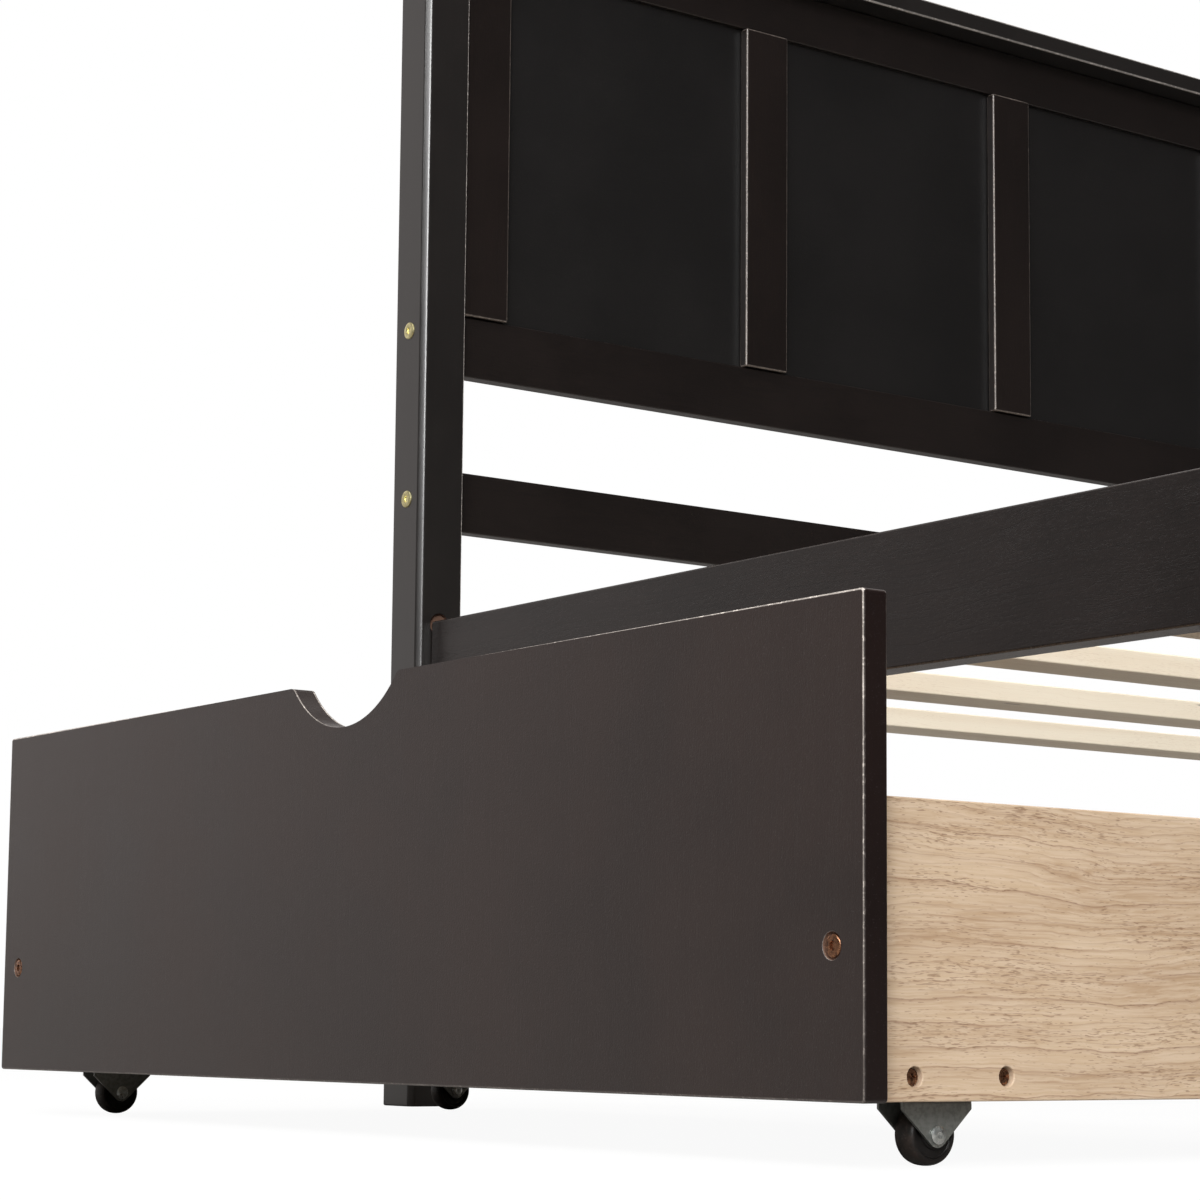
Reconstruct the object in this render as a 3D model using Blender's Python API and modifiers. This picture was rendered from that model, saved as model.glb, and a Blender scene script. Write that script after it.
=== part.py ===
"""Twin platform bed with a panelled headboard and two roll-out drawers.

+X runs from the head of the bed to its foot, -Y is the side the drawers open
towards and +Z is up.  The floor is Z = 0.  The head drawer stands pulled out
and the foot drawer is shut, with its front flush with the side rail.
Run with: blender --background --python part.py
"""

import math

import bmesh
import bpy

# ---------------------------------------------------------------- bed frame
BED_WIDTH = 1.066          # over the outer faces of the posts
POST = 0.0425              # square section of every post
GAP = 0.0003               # assembly gap between touching pieces
RAIL_INSET = 0.013         # side rail face set back from the post face
RAIL_THICK = 0.025
RAIL_LOW = 0.3064
RAIL_HIGH = 0.4012
LEDGER_WIDE = 0.020
LEDGER_TALL = 0.020
SLAT_THICK = 0.017
SLAT_WIDE = 0.048
SLAT_FIRST = 0.086         # middle of the first slat, from the head posts
SLAT_PITCH = 0.203
SLAT_COUNT = 10
SLAT_Z = 0.333             # underside of the slats
FOOT_POST_TALL = 0.435

# ---------------------------------------------------------------- headboard
CAP_LOW = 1.036
CAP_THICK = 0.0175
CAP_OVER_FRONT = 0.024     # cap past the headboard's face
CAP_OVER_SIDE = 0.012
FRAME_FACE = 0.005         # rails and stiles behind the post's front face
FRAME_THICK = 0.0144       # cross rails of the headboard
STILE_PROUD = 0.0047       # stile faces in front of the cross rails' faces
STILE_THICK = 0.0097
PANEL_THICK = 0.0052
GROOVE_DEEP = 0.008
TOP_RAIL_LOW = 0.9894
BOTTOM_RAIL = (0.6166, 0.6685)
LOWER_RAIL = (0.4818, 0.5331)
EDGE_STILE = 0.047
INNER_STILE = 0.049
PANEL_OPEN = 0.263         # clear width of one panel between stiles
BOLT_HOLE_R = 0.0092       # access hole in a post, half covered by the rail
BOLT_HOLE_DEEP = 0.010

# ------------------------------------------------------------------ drawers
DRAWER_LONG = 0.9585       # length of a drawer front
FRONT_TALL = 0.2425
BOARD = 0.015              # front board
SIDE_BOARD = 0.012
SIDE_TALL = 0.146
SIDE_INSET = 0.017         # drawer side in from the end of the front
DRAWER_DEEP = 0.440
HEAD_GAP = 0.0384          # head post to the first drawer front
DRAWER_GAP = 0.004
PULLED_OUT = 0.390         # head drawer's travel from shut
NOTCH_HALF = 0.0644        # middle of the notch to its shoulder's centre
NOTCH_DEEP = 0.0290
NOTCH_CORNER = 0.006       # rounding where the notch meets the top edge
BOTTOM_THICK = 0.005
CASTER_BOARD_THICK = 0.015
CASTER_BOARD_WIDE = 0.090

# ------------------------------------------------------------------ casters
DRAWER_LOW = 0.0316        # lower edge of the drawer boards
CASTER_TALL = 0.0360       # floor to the caster boards
WHEEL_R = 0.0152
WHEEL_WIDE = 0.0140
WHEEL_BORE_R = 0.0031
RIVET_R = 0.0030
RIVET_HEAD_R = 0.0046
RIVET_HEAD_TALL = 0.0022
FORK_WIDE = 0.0190
FORK_LONG = 0.0450
FORK_SHEET = 0.0016
FORK_BEND = 0.0060         # outer radius of the bracket's bends
FORK_SHOULDER = 0.0275     # height where the plates start to taper
FORK_TIP_R = 0.0062
CASTER_INSET = 0.0400      # caster centre from the end of the front
CASTER_FRONT = 0.0735      # front axle behind the drawer's face
CASTER_REAR = 0.3650

# ------------------------------------------------------------ derived sizes
BETWEEN_POSTS = HEAD_GAP + 2 * DRAWER_LONG + 2 * DRAWER_GAP
HEAD_X = -BETWEEN_POSTS / 2            # foot-facing face of the head posts
FOOT_X = BETWEEN_POSTS / 2             # head-facing face of the foot posts
FRONT_AHEAD = PULLED_OUT - RAIL_INSET  # pulled-out front past the posts
BED_Y = (FRONT_AHEAD - CAP_OVER_SIDE) / 2
NEAR_Y = BED_Y - BED_WIDTH / 2
FAR_Y = BED_Y + BED_WIDTH / 2
SHUT_Y = NEAR_Y + RAIL_INSET
CAP_HIGH = CAP_LOW + CAP_THICK

ESPRESSO = (0.030, 0.021, 0.018)
PALE_WOOD = (0.78, 0.61, 0.42)
LAMINATE = (0.62, 0.44, 0.28)
ZINC = (0.20, 0.21, 0.21)
WHEEL_BLACK = (0.022, 0.016, 0.014)


def clear_scene():
    """Empty the scene and drop data nothing uses."""
    for obj in list(bpy.data.objects):
        bpy.data.objects.remove(obj, do_unlink=True)
    for blocks in (bpy.data.meshes, bpy.data.materials, bpy.data.collections):
        for block in list(blocks):
            blocks.remove(block)


def new_collection(name, cutters=False):
    """Add a collection to the scene, hidden from renders if it holds cutters."""
    col = bpy.data.collections.new(name)
    bpy.context.scene.collection.children.link(col)
    col.hide_render = cutters
    return col


def material(name, colour, roughness, metallic=0.0):
    """One Principled material per node."""
    mat = bpy.data.materials.new(name)
    mat.use_nodes = True
    shader = mat.node_tree.nodes["Principled BSDF"]
    shader.inputs["Base Color"].default_value = (*colour, 1.0)
    shader.inputs["Roughness"].default_value = roughness
    shader.inputs["Metallic"].default_value = metallic
    mat.diffuse_color = (*colour, 1.0)
    return mat


def painted_wood(name):
    """Espresso lacquer on solid wood."""
    return material(name, ESPRESSO, 0.38)


def raw_wood(name):
    """Unfinished pale slat timber."""
    return material(name, PALE_WOOD, 0.62)


def laminate(name):
    """Pale wood-grain foil on drawer boards."""
    return material(name, LAMINATE, 0.50)


def zinc_steel(name):
    """Zinc-plated pressed steel."""
    return material(name, ZINC, 0.34, 0.9)


def wheel_plastic(name):
    """Dark moulded wheel plastic."""
    return material(name, WHEEL_BLACK, 0.42)


def add_object(name, bm, mat, parent=None, at=(0.0, 0.0, 0.0)):
    """Turn a bmesh into a named object in the bed's collection."""
    bmesh.ops.recalc_face_normals(bm, faces=bm.faces)
    mesh = bpy.data.meshes.new(name)
    bm.to_mesh(mesh)
    bm.free()
    obj = bpy.data.objects.new(name, mesh)
    if mat is not None:
        mesh.materials.append(mat)
    PARTS.objects.link(obj)
    obj.location = at
    obj.parent = parent
    return obj


def soften(obj, width, segments=2):
    """Round the arrises of a board."""
    mod = obj.modifiers.new("arris", "BEVEL")
    mod.width = width
    mod.segments = segments
    mod.limit_method = "ANGLE"
    mod.angle_limit = math.radians(40)
    return obj


def board(name, low, high, mat, arris=0.0012, parent=None):
    """A rectangular board from two opposite corners, origin at its middle."""
    size = [b - a for a, b in zip(low, high)]
    middle = [(a + b) / 2 for a, b in zip(low, high)]
    bm = bmesh.new()
    bmesh.ops.create_cube(bm, size=1.0)
    bmesh.ops.scale(bm, vec=size, verts=bm.verts)
    return soften(add_object(name, bm, mat, parent, middle), arris)


def extrude_outline(name, outline, axis, low, high, mat, parent=None,
                    at=(0.0, 0.0, 0.0)):
    """Extrude a flat outline along 'X' or 'Y' between two stations.

    An outline for 'X' lists (y, z) points and one for 'Y' lists (x, z).
    """
    bm = bmesh.new()
    rings = []
    for station in (low, high):
        ring = []
        for a, b in outline:
            co = (station, a, b) if axis == "X" else (a, station, b)
            ring.append(bm.verts.new(co))
        rings.append(ring)
    bm.faces.new(rings[0])
    bm.faces.new(rings[1])
    count = len(outline)
    for i in range(count):
        j = (i + 1) % count
        bm.faces.new((rings[0][i], rings[0][j], rings[1][j], rings[1][i]))
    return add_object(name, bm, mat, parent, at)


def arc(cx, cz, radius, start, end, steps):
    """Points of an arc, angles in degrees."""
    points = []
    for i in range(steps + 1):
        turn = math.radians(start + (end - start) * i / steps)
        points.append((cx + radius * math.cos(turn), cz + radius * math.sin(turn)))
    return points


def cylinder(name, radius, low, high, centre, mat=None, sides=32, parent=None):
    """A round bar along X between two stations; centre is (y, z)."""
    ring = arc(centre[0], centre[1], radius, 0, 360 - 360 / sides, sides - 1)
    return extrude_outline(name, ring, "X", low, high, mat, parent)


def apply_modifiers(obj):
    """Bake an object's modifiers into its mesh."""
    bpy.context.view_layer.update()
    graph = bpy.context.evaluated_depsgraph_get()
    mesh = bpy.data.meshes.new_from_object(obj.evaluated_get(graph))
    obj.modifiers.clear()
    obj.data = mesh


def combine(obj, tools, operation):
    """Apply booleans with several closed tool solids, then remove the tools."""
    for tool in tools:
        mod = obj.modifiers.new(operation.lower(), "BOOLEAN")
        mod.operation = operation
        mod.solver = "EXACT"
        mod.object = tool
    apply_modifiers(obj)
    for tool in tools:
        bpy.data.objects.remove(tool, do_unlink=True)
    return obj


# --------------------------------------------------------------- bed pieces
def post(name, x_low, y_low, tall, inward_x):
    """A square leg with a bolt access hole half hidden by the side rail."""
    obj = board(name, (x_low, y_low, 0.0), (x_low + POST, y_low + POST, tall),
                painted_wood(name), arris=0.0025)
    apply_modifiers(obj)
    face = x_low + POST if inward_x > 0 else x_low
    middle = y_low + POST / 2
    hole = cylinder(name + "_cut", BOLT_HOLE_R, face - inward_x * BOLT_HOLE_DEEP,
                    face + inward_x * 0.005, (middle, RAIL_HIGH - 0.0020), sides=24)
    return combine(obj, [hole], "DIFFERENCE")


def build_posts():
    """Four corner posts: tall at the head, low at the foot."""
    for side, y_low in (("near", NEAR_Y), ("far", FAR_Y - POST)):
        post("head_post_" + side, HEAD_X - POST, y_low, CAP_LOW - GAP, 1)
        post("foot_post_" + side, FOOT_X, y_low, FOOT_POST_TALL, -1)


def build_side_rails():
    """Side rails between the posts, each with a slat ledger inside."""
    for side, inward in (("near", 1), ("far", -1)):
        outer = (NEAR_Y if inward > 0 else FAR_Y) + inward * RAIL_INSET
        inner = outer + inward * RAIL_THICK
        ledge = inner + inward * GAP
        edge = ledge + inward * LEDGER_WIDE
        name = "side_rail_" + side
        board(name, (HEAD_X + GAP, min(outer, inner), RAIL_LOW),
              (FOOT_X - GAP, max(outer, inner), RAIL_HIGH), painted_wood(name), 0.002)
        name = "ledger_" + side
        ledger_top = SLAT_Z - GAP
        board(name, (HEAD_X + 0.010, min(ledge, edge), ledger_top - LEDGER_TALL),
              (FOOT_X - 0.010, max(ledge, edge), ledger_top), raw_wood(name), 0.001)


def build_foot_rail():
    """Cross rail between the foot posts, level with the side rails."""
    outer = FOOT_X + POST - RAIL_INSET
    board("foot_rail", (outer - RAIL_THICK, NEAR_Y + POST + GAP, RAIL_LOW),
          (outer, FAR_Y - POST - GAP, RAIL_HIGH), painted_wood("foot_rail"), 0.002)


def build_slats():
    """Pale cross slats lying on the two ledgers."""
    reach = RAIL_INSET + RAIL_THICK + 0.002
    for i in range(SLAT_COUNT):
        name = "slat_%02d" % (i + 1)
        middle = HEAD_X + SLAT_FIRST + i * SLAT_PITCH
        board(name, (middle - SLAT_WIDE / 2, NEAR_Y + reach, SLAT_Z),
              (middle + SLAT_WIDE / 2, FAR_Y - reach, SLAT_Z + SLAT_THICK),
              raw_wood(name), 0.0015)


def cross_rail(name, low, high, groove_up=False, groove_down=False):
    """A headboard rail along Y, grooved where the panel's edge enters it."""
    front = HEAD_X - FRAME_FACE - STILE_PROUD
    back = front - FRAME_THICK
    panel_front = HEAD_X - FRAME_FACE - STILE_THICK - GAP + 0.0002
    panel_back = panel_front - PANEL_THICK - 0.0004
    top = [(front, high), (back, high)]
    if groove_up:
        depth = high - GROOVE_DEEP
        top = [(front, high), (panel_front, high), (panel_front, depth),
               (panel_back, depth), (panel_back, high), (back, high)]
    bottom = [(back, low), (front, low)]
    if groove_down:
        depth = low + GROOVE_DEEP
        bottom = [(back, low), (panel_back, low), (panel_back, depth),
                  (panel_front, depth), (panel_front, low), (front, low)]
    obj = extrude_outline(name, top + bottom, "Y", NEAR_Y + POST + GAP,
                          FAR_Y - POST - GAP, painted_wood(name))
    return soften(obj, 0.0008, 1)


def build_headboard():
    """Cap, rails, panel and applied stiles between the head posts."""
    name = "headboard_cap"
    board(name, (HEAD_X - POST, NEAR_Y - CAP_OVER_SIDE, CAP_LOW),
          (HEAD_X - FRAME_FACE + CAP_OVER_FRONT, FAR_Y + CAP_OVER_SIDE, CAP_HIGH),
          painted_wood(name), 0.002)
    cross_rail("headboard_top_rail", TOP_RAIL_LOW, CAP_LOW - GAP, groove_down=True)
    cross_rail("headboard_bottom_rail", *BOTTOM_RAIL, groove_up=True)
    cross_rail("headboard_lower_rail", *LOWER_RAIL)

    name = "headboard_panel"
    stile_back = HEAD_X - FRAME_FACE - STILE_THICK
    panel_front = stile_back - GAP
    board(name, (panel_front - PANEL_THICK, NEAR_Y + POST + 0.001,
                 BOTTOM_RAIL[1] - GROOVE_DEEP + 0.001),
          (panel_front, FAR_Y - POST - 0.001, TOP_RAIL_LOW + GROOVE_DEEP - 0.001),
          painted_wood(name), 0.0005)

    low_y = NEAR_Y + POST + GAP
    widths = (EDGE_STILE - GAP, INNER_STILE, INNER_STILE, EDGE_STILE - GAP)
    for i, wide in enumerate(widths):
        name = "stile_%d" % (i + 1)
        board(name, (stile_back, low_y, BOTTOM_RAIL[1] + GAP),
              (stile_back + STILE_THICK, low_y + wide, TOP_RAIL_LOW - GAP),
              painted_wood(name), 0.0012)
        low_y += wide + PANEL_OPEN


# ------------------------------------------------------------------ drawers
def front_outline():
    """(x, z) outline of a drawer front with the hand notch in its top edge."""
    low = DRAWER_LOW
    high = low + FRONT_TALL
    middle = DRAWER_LONG / 2
    corner = NOTCH_CORNER
    # One large arc for the bowl, a small arc turning out at each shoulder.
    reach = NOTCH_HALF
    drop = NOTCH_DEEP
    bowl = (reach ** 2 + drop ** 2 - 2 * corner * drop) / (2 * drop)
    centre_z = high - drop + bowl
    lean = math.degrees(math.atan2(reach, centre_z - (high - corner)))
    left = arc(middle - reach, high - corner, corner, 90, 90 - lean, 4)
    bottom = arc(middle, centre_z, bowl, 270 - lean, 270 + lean, 14)
    right = arc(middle + reach, high - corner, corner, 90 + lean, 90, 4)
    end = [(DRAWER_LONG, high), (DRAWER_LONG, low), (0.0, low), (0.0, high)]
    return left + bottom[1:-1] + right + end


def fork_bracket(name, parent, x, y):
    """A pressed U bracket with a domed rivet for axle, all one piece."""
    top = CASTER_TALL - GAP
    half = FORK_WIDE / 2
    inside = half - FORK_SHEET
    bend = FORK_BEND
    inner = bend - FORK_SHEET
    channel = [(x - half, 0.004)]
    channel += arc(x - half + bend, top - bend, bend, 180, 90, 5)
    channel += arc(x + half - bend, top - bend, bend, 90, 0, 5)
    channel += [(x + half, 0.004), (x + inside, 0.004)]
    channel += arc(x + half - bend, top - bend, inner, 0, 90, 5)
    channel += arc(x - half + bend, top - bend, inner, 90, 180, 5)
    channel += [(x - inside, 0.004)]
    body = extrude_outline(name, channel, "Y", y - 0.05, y + 0.05, zinc_steel(name), parent)
    shoulder = FORK_LONG / 2
    drop = FORK_SHOULDER
    tip = arc(y, WHEEL_R, FORK_TIP_R, 215, 325, 8)
    silhouette = [(y - shoulder, top + 0.002), (y - shoulder, drop)]
    silhouette += tip
    silhouette += [(y + shoulder, drop), (y + shoulder, top + 0.002)]
    shape = extrude_outline(name + "_cut", silhouette, "X", x - 0.02, x + 0.02, None, parent)
    combine(body, [shape], "INTERSECT")
    rod = cylinder(name + "_rod", RIVET_R, x - half - 0.0005, x + half + 0.0005,
                   (y, WHEEL_R), parent=parent)
    heads = [rivet_head(name, parent, x, y, side) for side in (-1, 1)]
    return combine(body, [rod] + heads, "UNION")


def rivet_head(name, parent, x, y, side):
    """A low domed head on the outside of one bracket plate."""
    bm = bmesh.new()
    start = x + side * (FORK_WIDE / 2 - 0.0004)
    rings = []
    for reach, radius in ((0.0, 1.0), (0.55, 0.98), (0.85, 0.80), (1.0, 0.45)):
        station = start + side * reach * RIVET_HEAD_TALL
        points = arc(y, WHEEL_R, RIVET_HEAD_R * radius, 0, 345, 23)
        rings.append([bm.verts.new((station, a, b)) for a, b in points])
    bm.faces.new(rings[0])
    bm.faces.new(rings[-1])
    for near, far in zip(rings, rings[1:]):
        for i in range(24):
            j = (i + 1) % 24
            bm.faces.new((near[i], near[j], far[j], far[i]))
    return add_object("%s_head_%d" % (name, side), bm, None, parent)


def wheel(name, parent, x, y):
    """A solid wheel with a rounded tread, turned about its axle."""
    half = WHEEL_WIDE / 2
    profile = [(WHEEL_BORE_R, -half), (0.0060, -half), (0.0066, -half + 0.0012),
               (0.0115, -half + 0.0012), (0.0122, -half + 0.0004),
               (WHEEL_R - 0.0012, -half + 0.0008), (WHEEL_R - 0.0002, -half + 0.0032),
               (WHEEL_R, -0.0010)]
    profile += [(radius, -station) for radius, station in reversed(profile)]
    sides = 36
    bm = bmesh.new()
    rings = []
    for radius, station in profile:
        points = arc(0.0, 0.0, radius, 0, 360 - 360 / sides, sides - 1)
        rings.append([bm.verts.new((station, a, b)) for a, b in points])
    for k, ring in enumerate(rings):
        after = rings[(k + 1) % len(rings)]
        for i in range(sides):
            j = (i + 1) % sides
            bm.faces.new((ring[i], ring[j], after[j], after[i]))
    obj = add_object(name, bm, wheel_plastic(name), parent, (x, y, WHEEL_R))
    for polygon in obj.data.polygons:
        polygon.use_smooth = True
    return obj


def build_drawer(which, x_start, face_y):
    """A drawer box on four fixed casters, carried by one empty."""
    carrier = bpy.data.objects.new("drawer_" + which, None)
    PARTS.objects.link(carrier)
    carrier.location = (x_start, face_y, 0.0)
    tag = "drawer_" + which

    name = tag + "_front"
    front = extrude_outline(name, front_outline(), "Y", 0.0, BOARD,
                            painted_wood(name), carrier)
    soften(front, 0.0015, 2)

    low = DRAWER_LOW
    high = low + SIDE_TALL
    behind = BOARD + GAP
    left_in = SIDE_INSET + SIDE_BOARD
    right_in = DRAWER_LONG - left_in
    for name, x_low in ((tag + "_side_left", SIDE_INSET), (tag + "_side_right", right_in)):
        board(name, (x_low, behind, low), (x_low + SIDE_BOARD, DRAWER_DEEP, high),
              laminate(name), 0.0008, carrier)
    name = tag + "_back"
    back_y = DRAWER_DEEP - SIDE_BOARD
    board(name, (left_in + GAP, back_y, low), (right_in - GAP, DRAWER_DEEP, high),
          laminate(name), 0.0008, carrier)
    board_top = CASTER_TALL + CASTER_BOARD_THICK
    name = tag + "_bottom"
    board(name, (left_in + GAP, behind + GAP, board_top + GAP),
          (right_in - GAP, back_y - GAP, board_top + GAP + BOTTOM_THICK),
          laminate(name), 0.0005, carrier)

    lefts = (("left", CASTER_INSET), ("right", DRAWER_LONG - CASTER_INSET))
    for end, axle in (("front", CASTER_FRONT), ("rear", CASTER_REAR)):
        name = tag + "_caster_board_" + end
        middle = axle + (0.0035 if end == "front" else 0.0)
        board(name, (left_in + GAP, middle - CASTER_BOARD_WIDE / 2, CASTER_TALL),
              (right_in - GAP, middle + CASTER_BOARD_WIDE / 2, board_top),
              raw_wood(name), 0.0010, carrier)
        for side, x in lefts:
            place = "%s_%s_%s" % (which, end, side)
            fork_bracket("fork_" + place, carrier, x, axle)
            wheel("wheel_" + place, carrier, x, axle)


clear_scene()
PARTS = new_collection("trundle_bed")
build_posts()
build_side_rails()
build_foot_rail()
build_slats()
build_headboard()
build_drawer("head", HEAD_X + HEAD_GAP, SHUT_Y - PULLED_OUT)
build_drawer("foot", HEAD_X + HEAD_GAP + DRAWER_LONG + DRAWER_GAP, SHUT_Y)
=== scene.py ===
"""Looks of a twin platform bed with a panelled headboard and two roll-out drawers.

The bed's solids come packed, in metres, with +X from head to foot, -Y towards the
side the drawers open and the floor at Z = 0.  Each sub-assembly below is a class:
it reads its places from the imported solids, builds finer boards, fittings and
casters over them, and dresses them in procedural wood, foil, metal and plastic.
"""

import logging
import math
from dataclasses import dataclass, field
from enum import Enum
from typing import Callable, ClassVar, Iterable, Sequence

import bmesh
import bpy
from mathutils import Matrix, Vector


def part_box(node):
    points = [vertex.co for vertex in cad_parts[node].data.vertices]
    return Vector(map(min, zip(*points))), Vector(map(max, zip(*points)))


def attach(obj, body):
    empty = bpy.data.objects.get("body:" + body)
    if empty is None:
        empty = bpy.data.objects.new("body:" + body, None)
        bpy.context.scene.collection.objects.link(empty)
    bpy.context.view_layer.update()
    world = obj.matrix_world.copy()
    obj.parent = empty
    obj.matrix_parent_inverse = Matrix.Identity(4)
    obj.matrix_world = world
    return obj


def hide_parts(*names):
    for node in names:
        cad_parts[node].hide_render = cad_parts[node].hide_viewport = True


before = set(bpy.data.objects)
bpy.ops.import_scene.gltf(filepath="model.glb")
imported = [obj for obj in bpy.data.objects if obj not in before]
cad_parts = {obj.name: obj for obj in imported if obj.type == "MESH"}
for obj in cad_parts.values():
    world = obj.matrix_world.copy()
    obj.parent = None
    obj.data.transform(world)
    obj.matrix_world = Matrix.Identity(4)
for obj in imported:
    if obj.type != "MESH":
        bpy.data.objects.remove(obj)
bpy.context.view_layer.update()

LOG = logging.getLogger("bed")

Socket = bpy.types.NodeSocket
Colour = tuple[float, float, float]
Ring = list[Vector]


# ------------------------------------------------------------------- node wiring
class Wiring:
    """Short calls that place and link the nodes of one tree."""

    def __init__(self, tree: bpy.types.NodeTree) -> None:
        """Remember the tree."""
        self.tree = tree

    def fill(self, node: bpy.types.Node, values: dict) -> None:
        """Set or link a node's inputs.

        Args:
            node: Node to fill.
            values: Input name or index to a plain value or an output socket.
        """
        for key, value in values.items():
            if isinstance(value, Socket):
                self.tree.links.new(value, node.inputs[key])
            else:
                node.inputs[key].default_value = value

    def put(self, kind: str, values: dict | None = None, **settings: object) -> bpy.types.Node:
        """Place a node, set its options and fill its inputs.

        Args:
            kind: Node type without the "ShaderNode" prefix.
            values: Input name or index to a plain value or an output socket.
            **settings: Options of the node, such as an operation.

        Returns:
            The new node.
        """
        node = self.tree.nodes.new("ShaderNode" + kind)
        for key, value in settings.items():
            setattr(node, key, value)
        self.fill(node, values or {})
        return node

    def reckon(self, operation: str, a: object, b: object = 0.0, clamp: bool = False) -> Socket:
        """One arithmetic step, held between 0 and 1 where clamp is set."""
        return self.put("Math", {0: a, 1: b}, operation=operation, use_clamp=clamp).outputs[0]

    def times(self, a: object, b: object, clamp: bool = False) -> Socket:
        """The product of two values."""
        return self.reckon("MULTIPLY", a, b, clamp)

    def plus(self, a: object, b: object, clamp: bool = False) -> Socket:
        """The sum of two values."""
        return self.reckon("ADD", a, b, clamp)

    def less(self, a: object, b: object) -> Socket:
        """The first value less the second."""
        return self.reckon("SUBTRACT", a, b)

    def spread(self, value: Socket, low: float, high: float, to_low: float = 0.0,
               to_high: float = 1.0) -> Socket:
        """The range from low to high, stretched smoothly from to_low to to_high."""
        return self.put("MapRange", {0: value, 1: low, 2: high, 3: to_low, 4: to_high},
                        interpolation_type="SMOOTHSTEP").outputs[0]

    def blend(self, share: object, under: object, over: object) -> Socket:
        """Two colours, each a triple or a socket, of which the second has the share."""
        pair = [c if isinstance(c, Socket) else (*c, 1.0) for c in (under, over)]
        return self.put("Mix", {0: share, 6: pair[0], 7: pair[1]}, data_type="RGBA").outputs[2]

    def noise(self, vector: Socket, scale: object, detail: float = 2.0,
              roughness: float = 0.5) -> Socket:
        """Plain noise over the given coordinates.

        Args:
            vector: Coordinates in metres.
            scale: Features per metre, one number or one for each axis.
            detail: Octaves of finer noise.
            roughness: Strength of the finer octaves.

        Returns:
            The noise value's socket, about 0.5 on average.
        """
        if isinstance(scale, tuple):
            stretched = self.put("VectorMath", {0: vector, 1: scale}, operation="MULTIPLY")
            vector, scale = stretched.outputs[0], 1.0
        return self.put("TexNoise", {"Vector": vector, "Scale": scale, "Detail": detail,
                                     "Roughness": roughness}).outputs[0]


@dataclass(frozen=True)
class SurfaceGroup:
    """A named node group, built once and placed wherever its effect is needed.

    Attributes:
        name: Name of the group.
        takes: Name, kind ("Float" or "Vector") and default of each input.
        gives: Names of the outputs, all plain values.
        wiring: Builds the inside from the input sockets and returns the outputs.
    """

    name: str
    takes: tuple[tuple[str, str, object], ...]
    gives: tuple[str, ...]
    wiring: Callable[[Wiring, dict], dict]

    def tree(self) -> bpy.types.NodeTree:
        """The group's node tree, made on first use.

        Returns:
            The tree.
        """
        made = bpy.data.node_groups.get(self.name)
        if made:
            return made
        made = bpy.data.node_groups.new(self.name, "ShaderNodeTree")
        for name, kind, default in self.takes:
            socket = made.interface.new_socket(name, in_out="INPUT",
                                               socket_type="NodeSocket" + kind)
            socket.default_value = default
        for name in self.gives:
            made.interface.new_socket(name, in_out="OUTPUT", socket_type="NodeSocketFloat")
        inside = made.nodes.new("NodeGroupInput").outputs
        outside = made.nodes.new("NodeGroupOutput")
        wires = Wiring(made)
        wires.fill(outside, self.wiring(wires, {name: inside[name] for name, _, _ in self.takes}))
        return made

    def place(self, wires: Wiring, **values: object) -> bpy.types.NodeOutputs:
        """Place the group in a material.

        Args:
            wires: The material's wiring.
            **values: Input name to value or socket.

        Returns:
            The group node's outputs.
        """
        node = wires.tree.nodes.new("ShaderNodeGroup")
        node.node_tree = self.tree()
        wires.fill(node, values)
        return node.outputs


def wire_edge_wear_and_highlight(w: Wiring, given: dict) -> dict:
    """Lightened arrises, for rubbed edges and for painted highlight lines: the edge mask broken
    up by coarse and fine noise.

    Args:
        w: Wiring of the group.
        given: The group's input sockets by name.

    Returns:
        The group's outputs by name.
    """
    patches = w.spread(w.noise(given["Vector"], 38.0, 3.0), 0.44, 0.72)
    specks = w.spread(w.noise(given["Vector"], 430.0, 2.0), 0.52, 0.66)
    broken = w.times(w.reckon("MAXIMUM", w.times(patches, 0.55), specks), 0.72)
    broken = w.plus(broken, given["Even"])
    return {"Mask": w.times(w.times(broken, given["Arris"]), given["Amount"], True)}


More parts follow.
